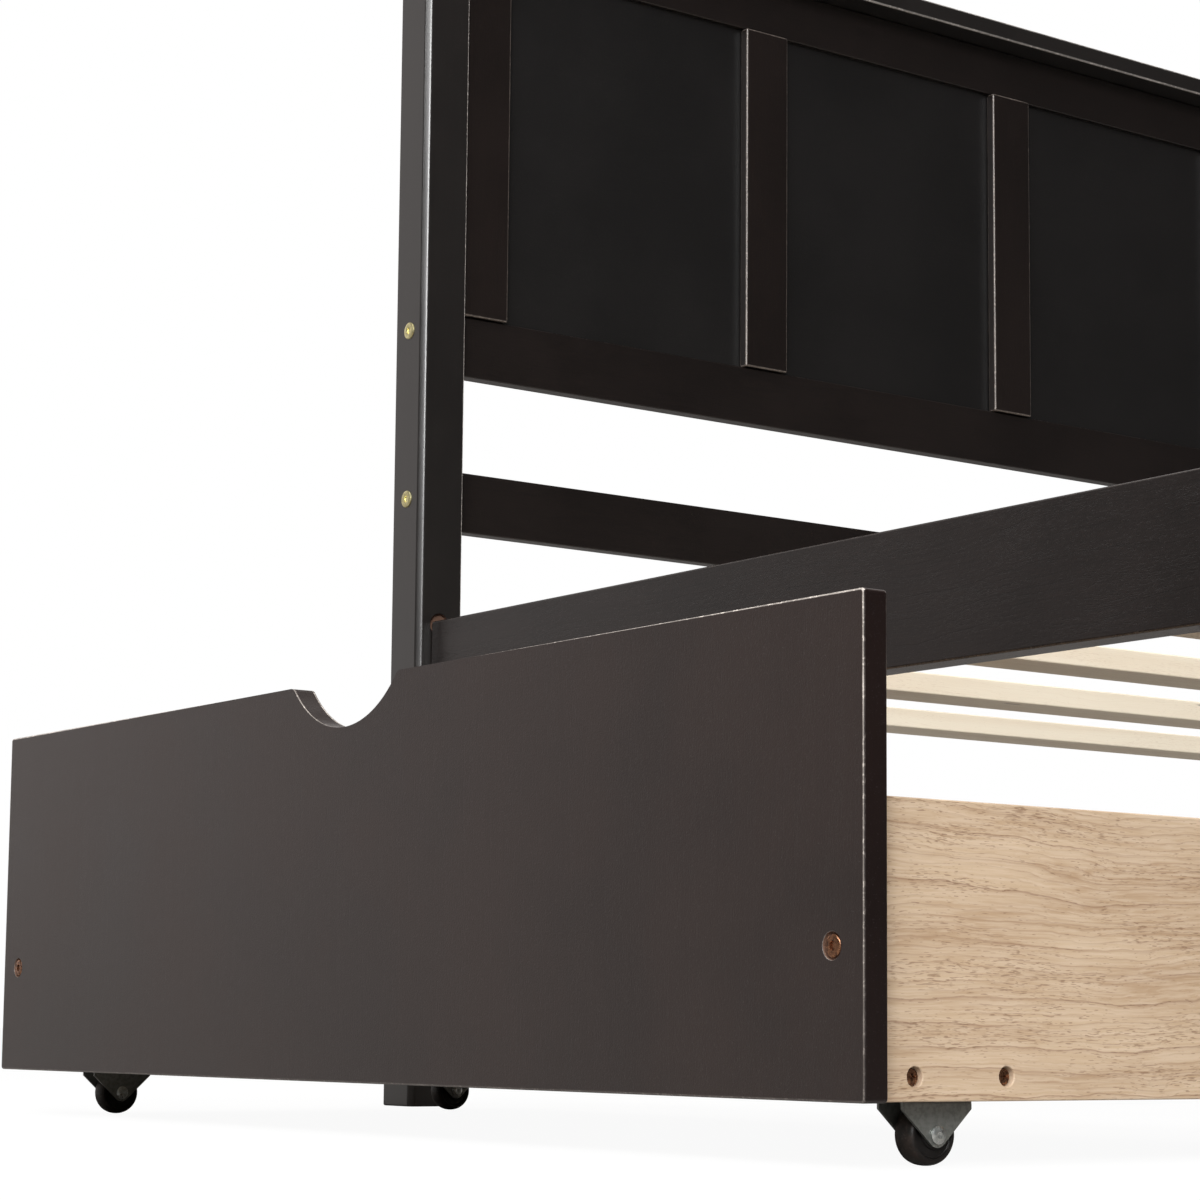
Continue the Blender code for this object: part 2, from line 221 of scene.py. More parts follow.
def wire_wood_figure(w: Wiring, given: dict) -> dict:
    """Growth lines, fibres and short pores that run along the first coordinate.

    Args:
        w: Wiring of the group.
        given: The group's input sockets by name.

    Returns:
        The group's outputs by name.
    """
    straight = given["Vector"]
    drift = w.plus(w.times(w.noise(straight, (3.4, 9.0, 9.0), 1.0), given["Sway"]),
                   w.times(w.noise(straight, (21.0, 60.0, 60.0), 3.0), 0.0050))
    aside = w.put("CombineXYZ", {1: drift, 2: drift}).outputs[0]
    bent = w.put("VectorMath", {0: straight, 1: aside}, operation="ADD").outputs[0]
    parts = w.put("SeparateXYZ", {0: bent}).outputs
    across = w.plus(parts[2], w.times(parts[1], 0.83))

    def lines(pitch: Socket, sharp: float) -> Socket:
        """Lines that rise slowly and end sharply, one for each pitch."""
        ramp = w.reckon("FRACT", w.reckon("DIVIDE", across, pitch))
        return w.times(w.reckon("POWER", ramp, sharp), w.spread(ramp, 1.0, 0.95))

    pitch = w.reckon("DIVIDE", 1.0, given["Lines"])
    main = w.plus(w.times(lines(pitch, 5.0), 0.16), w.times(lines(pitch, 26.0), 1.6))
    small = lines(w.times(pitch, 0.287), 5.0)
    fade = w.noise(bent, (7.0, 42.0, 42.0), 3.0, 0.6)
    growth = w.plus(w.times(main, w.spread(fade, 0.38, 0.60)),
                    w.times(small, w.spread(fade, 0.64, 0.42, 0.0, 0.48)), True)
    fibre = w.noise(bent, (24.0, 760.0, 760.0), 3.0, 0.62)
    pore = w.noise(bent, (170.0, 1900.0, 1900.0), 1.0)
    beds = w.spread(w.noise(bent, (9.0, 70.0, 70.0), 2.0), 0.38, 0.62, 0.0, 0.11)
    least = w.less(0.70, w.plus(w.times(growth, 0.10), beds))
    return {"Growth": growth, "Fibre": fibre,
            "Pores": w.spread(w.less(pore, least), -0.02, 0.05)}


def wire_spray_skin(w: Wiring, given: dict) -> dict:
    """Sprayed surface: grit for the bump, slow clouds for the sheen, and dust.

    Args:
        w: Wiring of the group.
        given: The group's input sockets by name.

    Returns:
        The group's outputs by name.
    """
    return {"Grit": w.noise(given["Vector"], given["Grit"], 3.0, 0.65),
            "Drift": w.noise(given["Vector"], 7.0, 4.0, 0.6),
            "Dust": w.spread(w.noise(given["Vector"], 1300.0, 0.0), 0.74, 0.80)}


PLACE = ("Vector", "Vector", (0, 0, 0))
EDGE_WEAR_AND_HIGHLIGHT = SurfaceGroup("edge_wear_and_highlight", (PLACE, ("Arris", "Float", 0.0), ("Amount", "Float", 0.5),
                                       ("Even", "Float", 0.0)), ("Mask",), wire_edge_wear_and_highlight)
WOOD_FIGURE = SurfaceGroup("wood_figure", (PLACE, ("Lines", "Float", 80.0),
                                           ("Sway", "Float", 0.05)),
                           ("Growth", "Fibre", "Pores"), wire_wood_figure)
SPRAY_SKIN = SurfaceGroup("spray_skin", (PLACE, ("Grit", "Float", 900.0)),
                          ("Grit", "Drift", "Dust"), wire_spray_skin)


# ----------------------------------------------------------------------- finishes
@dataclass(frozen=True)
class Finish:
    """A finish that becomes one node material.

    Attributes:
        name: Name of the material.
        slot: Name of the material slot that it belongs to.
    """

    name: str
    slot: ClassVar[str] = ""

    def wire(self, w: Wiring, place: Socket, arris: Socket) -> dict:
        """The shader's inputs by name, and "Bump" with height, strength and distance."""
        raise NotImplementedError

    def material(self) -> bpy.types.Material:
        """Build the node material from a piece's grain coordinates and arris mask.

        Returns:
            The material.
        """
        made = bpy.data.materials.new(self.name)
        made.use_nodes = True
        w = Wiring(made.node_tree)
        place = w.put("Attribute", attribute_name="grain").outputs["Vector"]
        arris = w.put("Attribute", attribute_name="arris").outputs["Fac"]
        values = self.wire(w, place, arris)
        height, strength, distance = values.pop("Bump")
        values["Normal"] = w.put("Bump", {"Height": height, "Strength": strength,
                                          "Distance": distance}).outputs[0]
        w.fill(made.node_tree.nodes["Principled BSDF"], values)
        return made


@dataclass(frozen=True)
class EspressoLacquer(Finish):
    """Dark brown sprayed lacquer, thin enough to show some grain.

    Attributes:
        deep: Colour in the grain's dark parts.
        warm: Colour where the lacquer is thinner.
        grain: How strongly the fibres show, 0 to 1.
        skin: Strength of the spray texture.
        sheen: Middle roughness.
        wear: How strongly the arrises are lightened, partly by rubbed lacquer and partly by
            painted highlight.
        even: Share of that lightening that is unbroken, which draws painted highlight lines along
            the arrises.
        rub_and_highlight: Colour of the lightened arrises: rubbed lacquer and painted highlight.
        ior: Index of refraction of the clear coat.
        pore: Colour down in the pores.
        dust: Colour of the dust specks.
    """

    deep: Colour = (0.0088, 0.0044, 0.0034)
    warm: Colour = (0.0170, 0.0086, 0.0064)
    grain: float = 0.5
    skin: float = 0.20
    sheen: float = 0.40
    wear: float = 0.50
    even: float = 0.12
    rub_and_highlight: Colour = (0.21, 0.155, 0.125)
    ior: float = 1.50
    pore: Colour = (0.0028, 0.0020, 0.0018)
    dust: Colour = (0.25, 0.24, 0.23)
    slot: ClassVar[str] = "espresso_lacquer"

    def wire(self, w: Wiring, place: Socket, arris: Socket) -> dict:
        """Grained lacquer whose arrises are lightened, partly rubbed lacquer and partly painted
        highlight.

        Args:
            w: The material's wiring.
            place: Grain coordinates of the piece.
            arris: Mask of its arrises.

        Returns:
            The shader's inputs.
        """
        figure = WOOD_FIGURE.place(w, Vector=place, Lines=70.0, Sway=0.03)
        skin = SPRAY_SKIN.place(w, Vector=place, Grit=850.0)
        wear_and_highlight_mask = EDGE_WEAR_AND_HIGHLIGHT.place(w, Vector=place, Arris=arris, Amount=self.wear,
                               Even=self.even)["Mask"]
        tone = w.plus(w.times(w.spread(figure["Fibre"], 0.30, 0.72), 0.6 * self.grain),
                      w.spread(skin["Drift"], 0.35, 0.65, 0.0, 0.45))
        dark = w.times(w.reckon("MAXIMUM", figure["Pores"], figure["Growth"]), 0.6 * self.grain)
        colour = w.blend(dark, w.blend(tone, self.deep, self.warm), self.pore)
        # Painted highlight: the arris mask lightens the colour towards the pale rub colour,
        # partly real rubbed lacquer and partly a painted highlight along the edges.
        colour = w.blend(wear_and_highlight_mask, colour, self.rub_and_highlight)
        colour = w.blend(w.times(skin["Dust"], 0.06), colour, self.dust)
        rough = w.spread(skin["Drift"], 0.3, 0.7, self.sheen - 0.015, self.sheen + 0.02)
        rough = w.plus(w.less(rough, w.times(arris, 0.10)), w.times(wear_and_highlight_mask, 0.2))
        height = w.plus(w.times(skin["Grit"], 0.5), w.times(figure["Fibre"], 0.5 * self.grain))
        return {"Base Color": colour, "Roughness": rough, "IOR": self.ior,
                "Bump": (w.less(height, w.times(dark, 0.8)), self.skin, 0.0004)}


@dataclass(frozen=True)
class FoilLaminate(Finish):
    """Pale oak-look foil on drawer boards, with thin wavy brown figure.

    Attributes:
        pale: Lightest ground colour.
        tan: Darker ground colour.
        line: Colour of the figure lines.
        streak: Colour of the palest fibres.
        tick: Colour of the printed pores.
    """

    pale: Colour = (0.530, 0.395, 0.265)
    tan: Colour = (0.415, 0.285, 0.176)
    line: Colour = (0.170, 0.070, 0.030)
    streak: Colour = (0.640, 0.515, 0.390)
    tick: Colour = (0.175, 0.090, 0.046)
    slot: ClassVar[str] = "laminate"

    def wire(self, w: Wiring, place: Socket, arris: Socket) -> dict:
        """Printed figure on a mottled ground.

        Args:
            w: The material's wiring.
            place: Grain coordinates of the piece.
            arris: Mask of its arrises.

        Returns:
            The shader's inputs.
        """
        figure = WOOD_FIGURE.place(w, Vector=place, Lines=84.0, Sway=0.022)
        broad = w.spread(w.noise(place, (5.0, 48.0, 48.0), 3.0, 0.6), 0.34, 0.66)
        lines = w.times(figure["Growth"], 0.82)
        ticks = w.times(figure["Pores"], 0.56)
        fibre = w.times(w.spread(figure["Fibre"], 0.30, 0.70), 0.55)
        colour = w.blend(fibre, w.blend(broad, self.tan, self.pale), self.streak)
        colour = w.blend(ticks, w.blend(lines, colour, self.line), self.tick)
        colour = w.blend(w.times(arris, 0.25), colour, self.streak)
        height = w.less(w.times(figure["Fibre"], 0.4), w.plus(ticks, w.times(lines, 0.5)))
        return {"Base Color": colour, "Bump": (height, 0.20, 0.0003),
                "Roughness": w.spread(figure["Fibre"], 0.3, 0.7, 0.50, 0.60)}


@dataclass(frozen=True)
class RawTimber(Finish):
    """Unfinished pale softwood with soft figure and a few dark ticks.

    Attributes:
        pale: Early wood colour.
        late: Late wood colour.
        rim: Colour of the arrises and the lightest fibres.
        knot: Colour of the dark marks.
        pore: Colour of the pores.
    """

    pale: Colour = (0.87, 0.785, 0.635)
    late: Colour = (0.76, 0.635, 0.48)
    rim: Colour = (0.85, 0.76, 0.62)
    knot: Colour = (0.16, 0.12, 0.08)
    pore: Colour = (0.45, 0.31, 0.19)
    slot: ClassVar[str] = "raw_wood"

    def wire(self, w: Wiring, place: Socket, arris: Socket) -> dict:
        """Soft bands, fibres, marks and pores.

        Args:
            w: The material's wiring.
            place: Grain coordinates of the piece.
            arris: Mask of its arrises.

        Returns:
            The shader's inputs.
        """
        figure = WOOD_FIGURE.place(w, Vector=place, Lines=190.0, Sway=0.018)
        broad = w.spread(w.noise(place, (3.0, 60.0, 60.0)), 0.4, 0.7, 0.0, 0.45)
        bands = w.plus(w.times(figure["Growth"], 0.55), broad, True)
        fibre = w.times(w.spread(figure["Fibre"], 0.3, 0.7), 0.25)
        knots = w.spread(w.noise(place, (14.0, 110.0, 110.0), 1.0), 0.765, 0.80)
        colour = w.blend(fibre, w.blend(bands, self.pale, self.late), self.rim)
        colour = w.blend(w.times(knots, 0.7), colour, self.knot)
        colour = w.blend(w.times(figure["Pores"], 0.15), colour, self.pore)
        colour = w.blend(w.times(arris, 0.4), colour, self.rim)
        height = w.less(figure["Fibre"], w.times(figure["Pores"], 0.6))
        return {"Base Color": colour, "Bump": (height, 0.22, 0.0004),
                "Roughness": w.spread(figure["Fibre"], 0.3, 0.7, 0.58, 0.72)}


@dataclass(frozen=True)
class PlatedMetal(Finish):
    """Plated or lacquered steel with tarnish in patches and fine scratches.

    Attributes:
        bright: Colour where the plating is clean.
        dull: Colour of the tarnish.
        polish: Roughness where clean.
        tarnish: Roughness of the tarnish.
        metal: Metallic value where clean.
        patches: Size of the tarnish patches, per metre.
        wear: How bright the rims are rubbed.
    """

    bright: Colour
    dull: Colour
    polish: float = 0.28
    tarnish: float = 0.50
    metal: float = 1.0
    patches: float = 160.0
    wear: float = 0.7
    slot: ClassVar[str] = "zinc_steel"

    def wire(self, w: Wiring, place: Socket, arris: Socket) -> dict:
        """Patches of tarnish, scratches and rubbed rims.

        Args:
            w: The material's wiring.
            place: Grain coordinates of the piece.
            arris: Mask of its rims.

        Returns:
            The shader's inputs.
        """
        patch = w.noise(place, self.patches, 4.0, 0.62)
        scratch = w.noise(place, (90.0, 2600.0, 900.0))
        wear_and_highlight_mask = EDGE_WEAR_AND_HIGHLIGHT.place(w, Vector=place, Arris=arris, Amount=self.wear)["Mask"]
        light = tuple(min(1.0, 1.35 * part + 0.06) for part in self.bright)
        colour = w.blend(w.spread(patch, 0.40, 0.64), self.bright, self.dull)
        rough = w.spread(patch, 0.36, 0.68, self.polish, self.tarnish)
        return {"Base Color": w.blend(wear_and_highlight_mask, colour, light),
                "Roughness": w.plus(rough, w.times(scratch, 0.08)),
                "Metallic": w.spread(patch, 0.40, 0.70, self.metal, self.metal - 0.12),
                "Bump": (w.plus(patch, scratch), 0.10, 0.0002)}


@dataclass(frozen=True)
class WheelPlastic(Finish):
    """Near-black moulded plastic whose tread is scuffed brown and dusty.

    Attributes:
        body: Colour of the moulding.
        scuff: Colour of the rubbed tread.
        dust: Colour of the dust on it.
    """

    body: Colour = (0.0045, 0.0037, 0.0034)
    scuff: Colour = (0.020, 0.0135, 0.0105)
    dust: Colour = (0.10, 0.084, 0.070)
    slot: ClassVar[str] = "wheel_plastic"

    def wire(self, w: Wiring, place: Socket, arris: Socket) -> dict:
        """Moulded skin, scuffs and dust.

        Args:
            w: The material's wiring.
            place: Grain coordinates of the piece.
            arris: Mask of the tread.

        Returns:
            The shader's inputs.
        """
        grit = SPRAY_SKIN.place(w, Vector=place, Grit=1500.0)["Grit"]
        patch = w.noise(place, 260.0, 4.0, 0.65)
        rubbed = w.times(arris, w.spread(patch, 0.34, 0.62), True)
        dusty = w.times(w.spread(w.noise(place, 700.0, 3.0), 0.58, 0.72),
                        w.plus(w.times(arris, 0.35), 0.06))
        colour = w.blend(dusty, w.blend(rubbed, self.body, self.scuff), self.dust)
        rough = w.plus(w.spread(patch, 0.3, 0.7, 0.36, 0.52), w.times(arris, 0.12))
        return {"Base Color": colour, "Roughness": rough, "IOR": 1.38,
                "Bump": (w.plus(grit, patch), 0.45, 0.0003)}


class Palette:
    """Every finish of the bed, each built into a material on first use."""

    # The front's arrises are lightened towards a pale rub colour: partly rubbed lacquer, partly
    # painted glints and highlight along the edges.
    front_board = EspressoLacquer("lacquer_front_board", grain=0.18, skin=0.50, sheen=0.36,
                                  wear=0.75, even=0.42, rub_and_highlight=(0.68, 0.61, 0.55))
    # Darker, redder copy of the front lacquer for the board's end faces: painted shade, since
    # those faces get less light; its lower IOR and higher roughness are the ends' own duller
    # finish.
    board_end_painted_shade = EspressoLacquer("lacquer_board_end_painted_shade", deep=(0.0048, 0.0018, 0.0014),
                                warm=(0.0085, 0.0030, 0.0022), grain=0.30, skin=0.20,
                                sheen=0.46, wear=0.40, rub_and_highlight=(0.20, 0.17, 0.15), ior=1.36)
    # Posts and cap: the arrises are lightened towards a pale rub colour, mostly unbroken; painted
    # highlight lines, with some rubbed lacquer.
    post = EspressoLacquer("lacquer_post", deep=(0.0076, 0.0066, 0.0062),
                           warm=(0.0125, 0.0106, 0.0098), grain=0.40, skin=0.05, sheen=0.29,
                           wear=1.00, even=0.60, rub_and_highlight=(0.60, 0.56, 0.53), ior=1.66)
    rail = EspressoLacquer("lacquer_rail", deep=(0.0060, 0.0044, 0.0040),
                           warm=(0.0112, 0.0078, 0.0070), grain=0.80, skin=0.34, sheen=0.30,
                           wear=0.25)
    panel = EspressoLacquer("lacquer_panel", deep=(0.0038, 0.0035, 0.0035),
                            warm=(0.0066, 0.0058, 0.0058), grain=0.30, skin=0.44,
                            sheen=0.42, wear=0.06)
    # Stiles: the arrises are lightened towards a pale rub colour; painted highlight lines, with
    # some rubbed lacquer.
    stile = EspressoLacquer("lacquer_stile", deep=(0.0054, 0.0036, 0.0031),
                            warm=(0.0102, 0.0064, 0.0055), grain=0.60, skin=0.20,
                            sheen=0.32, wear=0.95, even=0.42, rub_and_highlight=(0.40, 0.34, 0.30))
    cross_rail = EspressoLacquer("lacquer_cross_rail", deep=(0.0054, 0.0038, 0.0034),
                                 warm=(0.0102, 0.0070, 0.0062), grain=0.70, skin=0.22,
                                 sheen=0.32, wear=0.10)
    foil = FoilLaminate("foil_laminate")
    timber = RawTimber("raw_timber")
    core = RawTimber("board_core", (0.50, 0.37, 0.26), (0.38, 0.265, 0.175),
                     (0.56, 0.44, 0.33))
    stained = RawTimber("stained_core", (0.110, 0.056, 0.036), (0.070, 0.035, 0.023),
                        (0.17, 0.100, 0.068))
    zinc = PlatedMetal("zinc_plate", (0.225, 0.232, 0.218), (0.160, 0.166, 0.156), 0.36, 0.50,
                       0.80, 330.0)
    rivet = PlatedMetal("rivet_steel", (0.62, 0.65, 0.64), (0.34, 0.36, 0.35), 0.20, 0.36)
    brass = PlatedMetal("brass_bolt", (0.78, 0.72, 0.40), (0.52, 0.46, 0.24), 0.26, 0.42)
    bronze = PlatedMetal("bronze_bolt", (0.30, 0.145, 0.078), (0.070, 0.034, 0.021), 0.16,
                         0.40, 0.95, 520.0, 0.10)
    wheel = WheelPlastic("wheel_plastic")

    _made: dict[str, bpy.types.Material] = {}

    @classmethod
    def load(cls, piece: bpy.types.Object, finishes: Iterable[Finish]) -> None:
        """Give a piece its material slots before it is cut."""
        for finish in finishes:
            piece.data.materials.append(cls.material(finish))

    @classmethod
    def material(cls, finish: Finish) -> bpy.types.Material:
        """The finish's material, built once."""
        if finish.name not in cls._made:
            cls._made[finish.name] = finish.material()
        return cls._made[finish.name]


# ------------------------------------------------------------------- mesh workshop
class Grain(Enum):
    """Axis that the fibres of a board follow, as an order of coordinates."""

    X = (0, 1, 2)
    Y = (1, 0, 2)
    Z = (2, 0, 1)


def mesh_of(name: str, bm: bmesh.types.BMesh) -> bpy.types.Mesh:
    """Turn a closed bmesh into a mesh whose faces look outward, and free it.

    Args:
        name: Name of the mesh.
        bm: Finished bmesh.

    Returns:
        The mesh.
    """
    bmesh.ops.recalc_face_normals(bm, faces=bm.faces)
    mesh = bpy.data.meshes.new(name)
    bm.to_mesh(mesh)
    bm.free()
    return mesh


class Workshop:
    """Turns meshes into placed, dressed pieces of the bed."""

    step = Vector((0.731, 0.417, 0.229))

    def __init__(self) -> None:
        """Make the collection that holds every piece."""
        self.shelf = bpy.data.collections.new("bed_pieces")
        bpy.context.scene.collection.children.link(self.shelf)
        self.count = 0

    def put_on_shelf(self, name: str, bm: bmesh.types.BMesh) -> bpy.types.Object:
        """Make an object from a finished bmesh.

        Args:
            name: Name of the piece.
            bm: Its finished bmesh.

        Returns:
            The piece.
        """
        piece = bpy.data.objects.new(name, mesh_of(name, bm))
        self.shelf.objects.link(piece)
        return piece

    def dress(self, piece: bpy.types.Object, finishes: Iterable[Finish], grain: Grain,
              arris: Callable[[Vector], float]) -> None:
        """Give a piece its materials, grain coordinates and arris mask.

        Args:
            piece: Mesh object in place.
            finishes: Finish of each material slot.
            grain: Direction of the fibres.
            arris: Gives 0 to 1 for how far a point is on an arris.
        """
        mesh = piece.data
        chosen = [polygon.material_index for polygon in mesh.polygons]
        mesh.materials.clear()
        Palette.load(piece, finishes)
        mesh.polygons.foreach_set("material_index", chosen)
        self.count += 1
        shift = self.step * self.count
        low, high = (Vector(map(end, zip(*(v.co for v in mesh.vertices)))) for end in (min, max))
        middle = (low + high) / 2
        places: list[float] = []
        masks: list[float] = []
        for vertex in mesh.vertices:
            local = vertex.co - middle
            places.extend(Vector([local[axis] for axis in grain.value]) + shift)
            masks.append(arris(vertex.co))
        mesh.attributes.new("grain", "FLOAT_VECTOR", "POINT").data.foreach_set("vector", places)
        mesh.attributes.new("arris", "FLOAT", "POINT").data.foreach_set("value", masks)

    def finish_off(self, piece: bpy.types.Object, body: str, finishes: Sequence[Finish],
                   grain: Grain, arris: Callable[[Vector], float], stands_for: str = "",
                   smooth_angle: float = 40.0) -> None:
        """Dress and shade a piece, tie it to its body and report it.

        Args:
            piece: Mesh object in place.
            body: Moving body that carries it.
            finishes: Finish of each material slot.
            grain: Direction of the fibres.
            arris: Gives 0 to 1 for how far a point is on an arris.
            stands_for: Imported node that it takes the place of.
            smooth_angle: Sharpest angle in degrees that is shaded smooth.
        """
        self.dress(piece, finishes, grain, arris)
        piece.data.shade_smooth()
        piece.data.set_sharp_from_angle(angle=math.radians(smooth_angle))
        mod = piece.modifiers.new("flat_faces", "WEIGHTED_NORMAL")
        mod.keep_sharp = True
        mod.weight = 100
        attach(piece, body)
        if stands_for:
            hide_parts(stands_for)
        LOG.info("%s: %d faces on %s", piece.name, len(piece.data.polygons), body)

    def plank(self, node: str, body: str, finish: Finish, grain: Grain, arris: float) -> None:
        """Replace one packed board by a finely rounded, dressed one.

        Args:
            node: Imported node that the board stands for.
            body: Moving body that carries it.
            finish: Finish of the board.
            grain: Direction of its fibres.
            arris: Rounding of its edges.
        """
        low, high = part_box(node)
        piece = self.put_on_shelf(node + "_board", rounded_box(low, high, arris))
        self.finish_off(piece, body, [finish], grain, arris_of_box(low, high, arris), node)


def arris_of_box(low: Vector, high: Vector, width: float) -> Callable[[Vector], float]:
    """Mask that is 1 on the rounded edges of a box and 0 on its faces.

    Args:
        low: Lowest corner.
        high: Highest corner.
        width: Width of the rounding.

    Returns:
        A function from a point to its mask value.
    """
    def mask(point: Vector) -> float:
        """How far a point is on an edge of the box."""
        gaps = sorted(min(p - a, b - p) for p, a, b in zip(point, low, high))
        return max(0.0, min(1.0, 1.0 - gaps[1] / (width * 0.98)))
    return mask


def plain_box(low: Vector, high: Vector) -> bmesh.types.BMesh:
    """A box with sharp edges, ready for rounding.

    Args:
        low: Lowest corner.
        high: Highest corner.

    Returns:
        The box as a bmesh.
    """
    bm = bmesh.new()
    bmesh.ops.create_cube(bm, size=1.0)
    for vertex in bm.verts:
        for axis in range(3):
            vertex.co[axis] = high[axis] if vertex.co[axis] > 0 else low[axis]
    return bm


def rounded_box(low: Vector, high: Vector, arris: float) -> bmesh.types.BMesh:
    """A box with edges and corners rounded to the radius of its arrises."""
    bm = plain_box(low, high)
    soften(bm, bm.edges[:], arris, 3)
    return bm


def soften(bm: bmesh.types.BMesh, edges: list, arris: float, steps: int) -> None:
    """Round edges to a radius with so many rows of faces."""
    bmesh.ops.bevel(bm, geom=edges, offset=arris, segments=steps, profile=0.5,
                    affect="EDGES", clamp_overlap=True)


def chamfered_post(low: Vector, high: Vector, corner: tuple[int, int], chamfer: float,
                   arris: float) -> bmesh.types.BMesh:
    """A square post with a flat chamfer along one corner and softened edges.

    Args:
        low: Lowest corner of its box.
        high: Highest corner of its box.
        corner: Signs of X and Y of the chamfered corner.
        chamfer: How far the chamfer reaches along either face.
        arris: Rounding of all the edges after that.

    Returns:
        The post as a bmesh.
    """
    bm = plain_box(low, high)
    middle = (low + high) / 2
    upright = [e for e in bm.edges if all(
        (v.co.x - middle.x) * corner[0] > 0 and (v.co.y - middle.y) * corner[1] > 0
        for v in e.verts)]
    bmesh.ops.bevel(bm, geom=upright, offset=chamfer, segments=1, affect="EDGES")
    soften(bm, bm.edges[:], arris, 2)
    return bm


def turned_ring(centre: Vector, axis: int, station: float, outline: Callable[[float], float],
                sides: int) -> Ring:
    """A closed ring of points round an axis.

    Args:
        centre: Point on the axis.
        axis: 0, 1 or 2 for X, Y or Z.
        station: Distance along the axis from the centre.
        outline: Radius at each turn angle.
        sides: Number of points.

    Returns:
        The ring's points.
    """
    first, second = [i for i in range(3) if i != axis]
    ring = []
    for i in range(sides):
        turn = 2 * math.pi * i / sides
        point = centre.copy()
        point[axis] += station
        point[first] += outline(turn) * math.cos(turn)
        point[second] += outline(turn) * math.sin(turn)
        ring.append(point)
    return ring


def loft(rings: Sequence[Ring], closed: bool = False) -> bmesh.types.BMesh:
    """Join rings of equal length with faces.

    Args:
        rings: The rings in order.
        closed: Whether the last ring joins the first; otherwise both ends are capped.

    Returns:
        The skin as a bmesh.
    """
    bm = bmesh.new()
    rows = [[bm.verts.new(point) for point in ring] for ring in rings]
    pairs = list(zip(rows, rows[1:]))
    if closed:
        pairs.append((rows[-1], rows[0]))
    else:
        bm.faces.new(rows[0])
        bm.faces.new(rows[-1])
    for near, far in pairs:
        for i, corner in enumerate(near):
            j = (i + 1) % len(near)
            bm.faces.new((corner, near[j], far[j], far[i]))
    return bm


def round_outline(radius: float) -> Callable[[float], float]:
    """Outline of a circle."""
    return lambda turn: radius


def hexagon_outline(across: float) -> Callable[[float], float]:
    """Outline of a hexagon.

    Args:
        across: Width across its flats.

    Returns:
        The radius at each turn angle.
    """
    def radius(turn: float) -> float:
        """Distance to the hexagon's edge at a turn angle."""
        part = (turn + math.pi / 6) % (math.pi / 3) - math.pi / 6
        return across / 2 / math.cos(part)
    return radius


def cross_outline(arm: float, root: float) -> Callable[[float], float]:
    """Outline of a cross recess.

    Args:
        arm: Reach of its arms.
        root: Radius between them.

    Returns:
        The radius at each turn angle.
    """
    def radius(turn: float) -> float:
        """Distance to the cross's edge at a turn angle."""
        share = abs(math.cos(2 * turn)) ** 3
        return root + (arm - root) * share
    return radius


class Drive(Enum):
    """Shape of the recess in a bolt or screw head."""

    HEX = "hex"
    CROSS = "cross"


@dataclass
class BoltHead:
    """A round bolt or screw head with a driver recess.

    Attributes:
        radius: Radius of the head.
        proud: Height of the head over its seat.
        crown: Height of the domed rim.
        socket: Width of the recess.
        depth: Depth of the recess below the crown.
        drive: Shape of the recess.
        finish: Finish of the head.
        sides: Points round the head.
    """

    radius: float
    proud: float
    crown: float
    socket: float
    depth: float
    drive: Drive
    finish: Finish
    sides: int = 48

    def build(self, shop: Workshop, name: str, seat: Vector, axis: int, outward: int,
              body: str) -> None:
        """Make the head at a seat.

        Args:
            shop: Workshop that takes the piece.
            name: Name of the piece.
            seat: Centre of the seat under the head.
            axis: Axis of the bolt, 0, 1 or 2.
            outward: 1 or -1, the way the head faces along the axis.
            body: Moving body that carries it.
        """
        if self.drive is Drive.HEX:
            recess = hexagon_outline(self.socket)
            floor = hexagon_outline(self.socket * 0.94)
        else:
            recess = cross_outline(self.socket / 2, self.socket * 0.16)
            floor = cross_outline(self.socket * 0.36, self.socket * 0.12)
        r = self.radius
        top = self.proud
        rows = [
            (-0.0008, round_outline(r)),
            (top - self.crown, round_outline(r)),
            (top - self.crown * 0.45, round_outline(r * 0.97)),
            (top - self.crown * 0.10, round_outline(r * 0.88)),
            (top, round_outline(r * 0.74)),
            (top, lambda turn: recess(turn) * 1.14),
            (top - 0.00025, recess),
            (top - self.depth, floor),
        ]
        rings = [turned_ring(seat, axis, outward * s, o, self.sides) for s, o in rows]
        piece = shop.put_on_shelf(name, loft(rings))

        def rim(point: Vector) -> float:
            """How close a point is to the head's rim."""
            away = point - seat
            away[axis] = 0.0
            return max(0.0, 1.0 - abs(away.length / r - 0.93) * 8.0)

        shop.finish_off(piece, body, [self.finish], Grain.X, rim, smooth_angle=38.0)


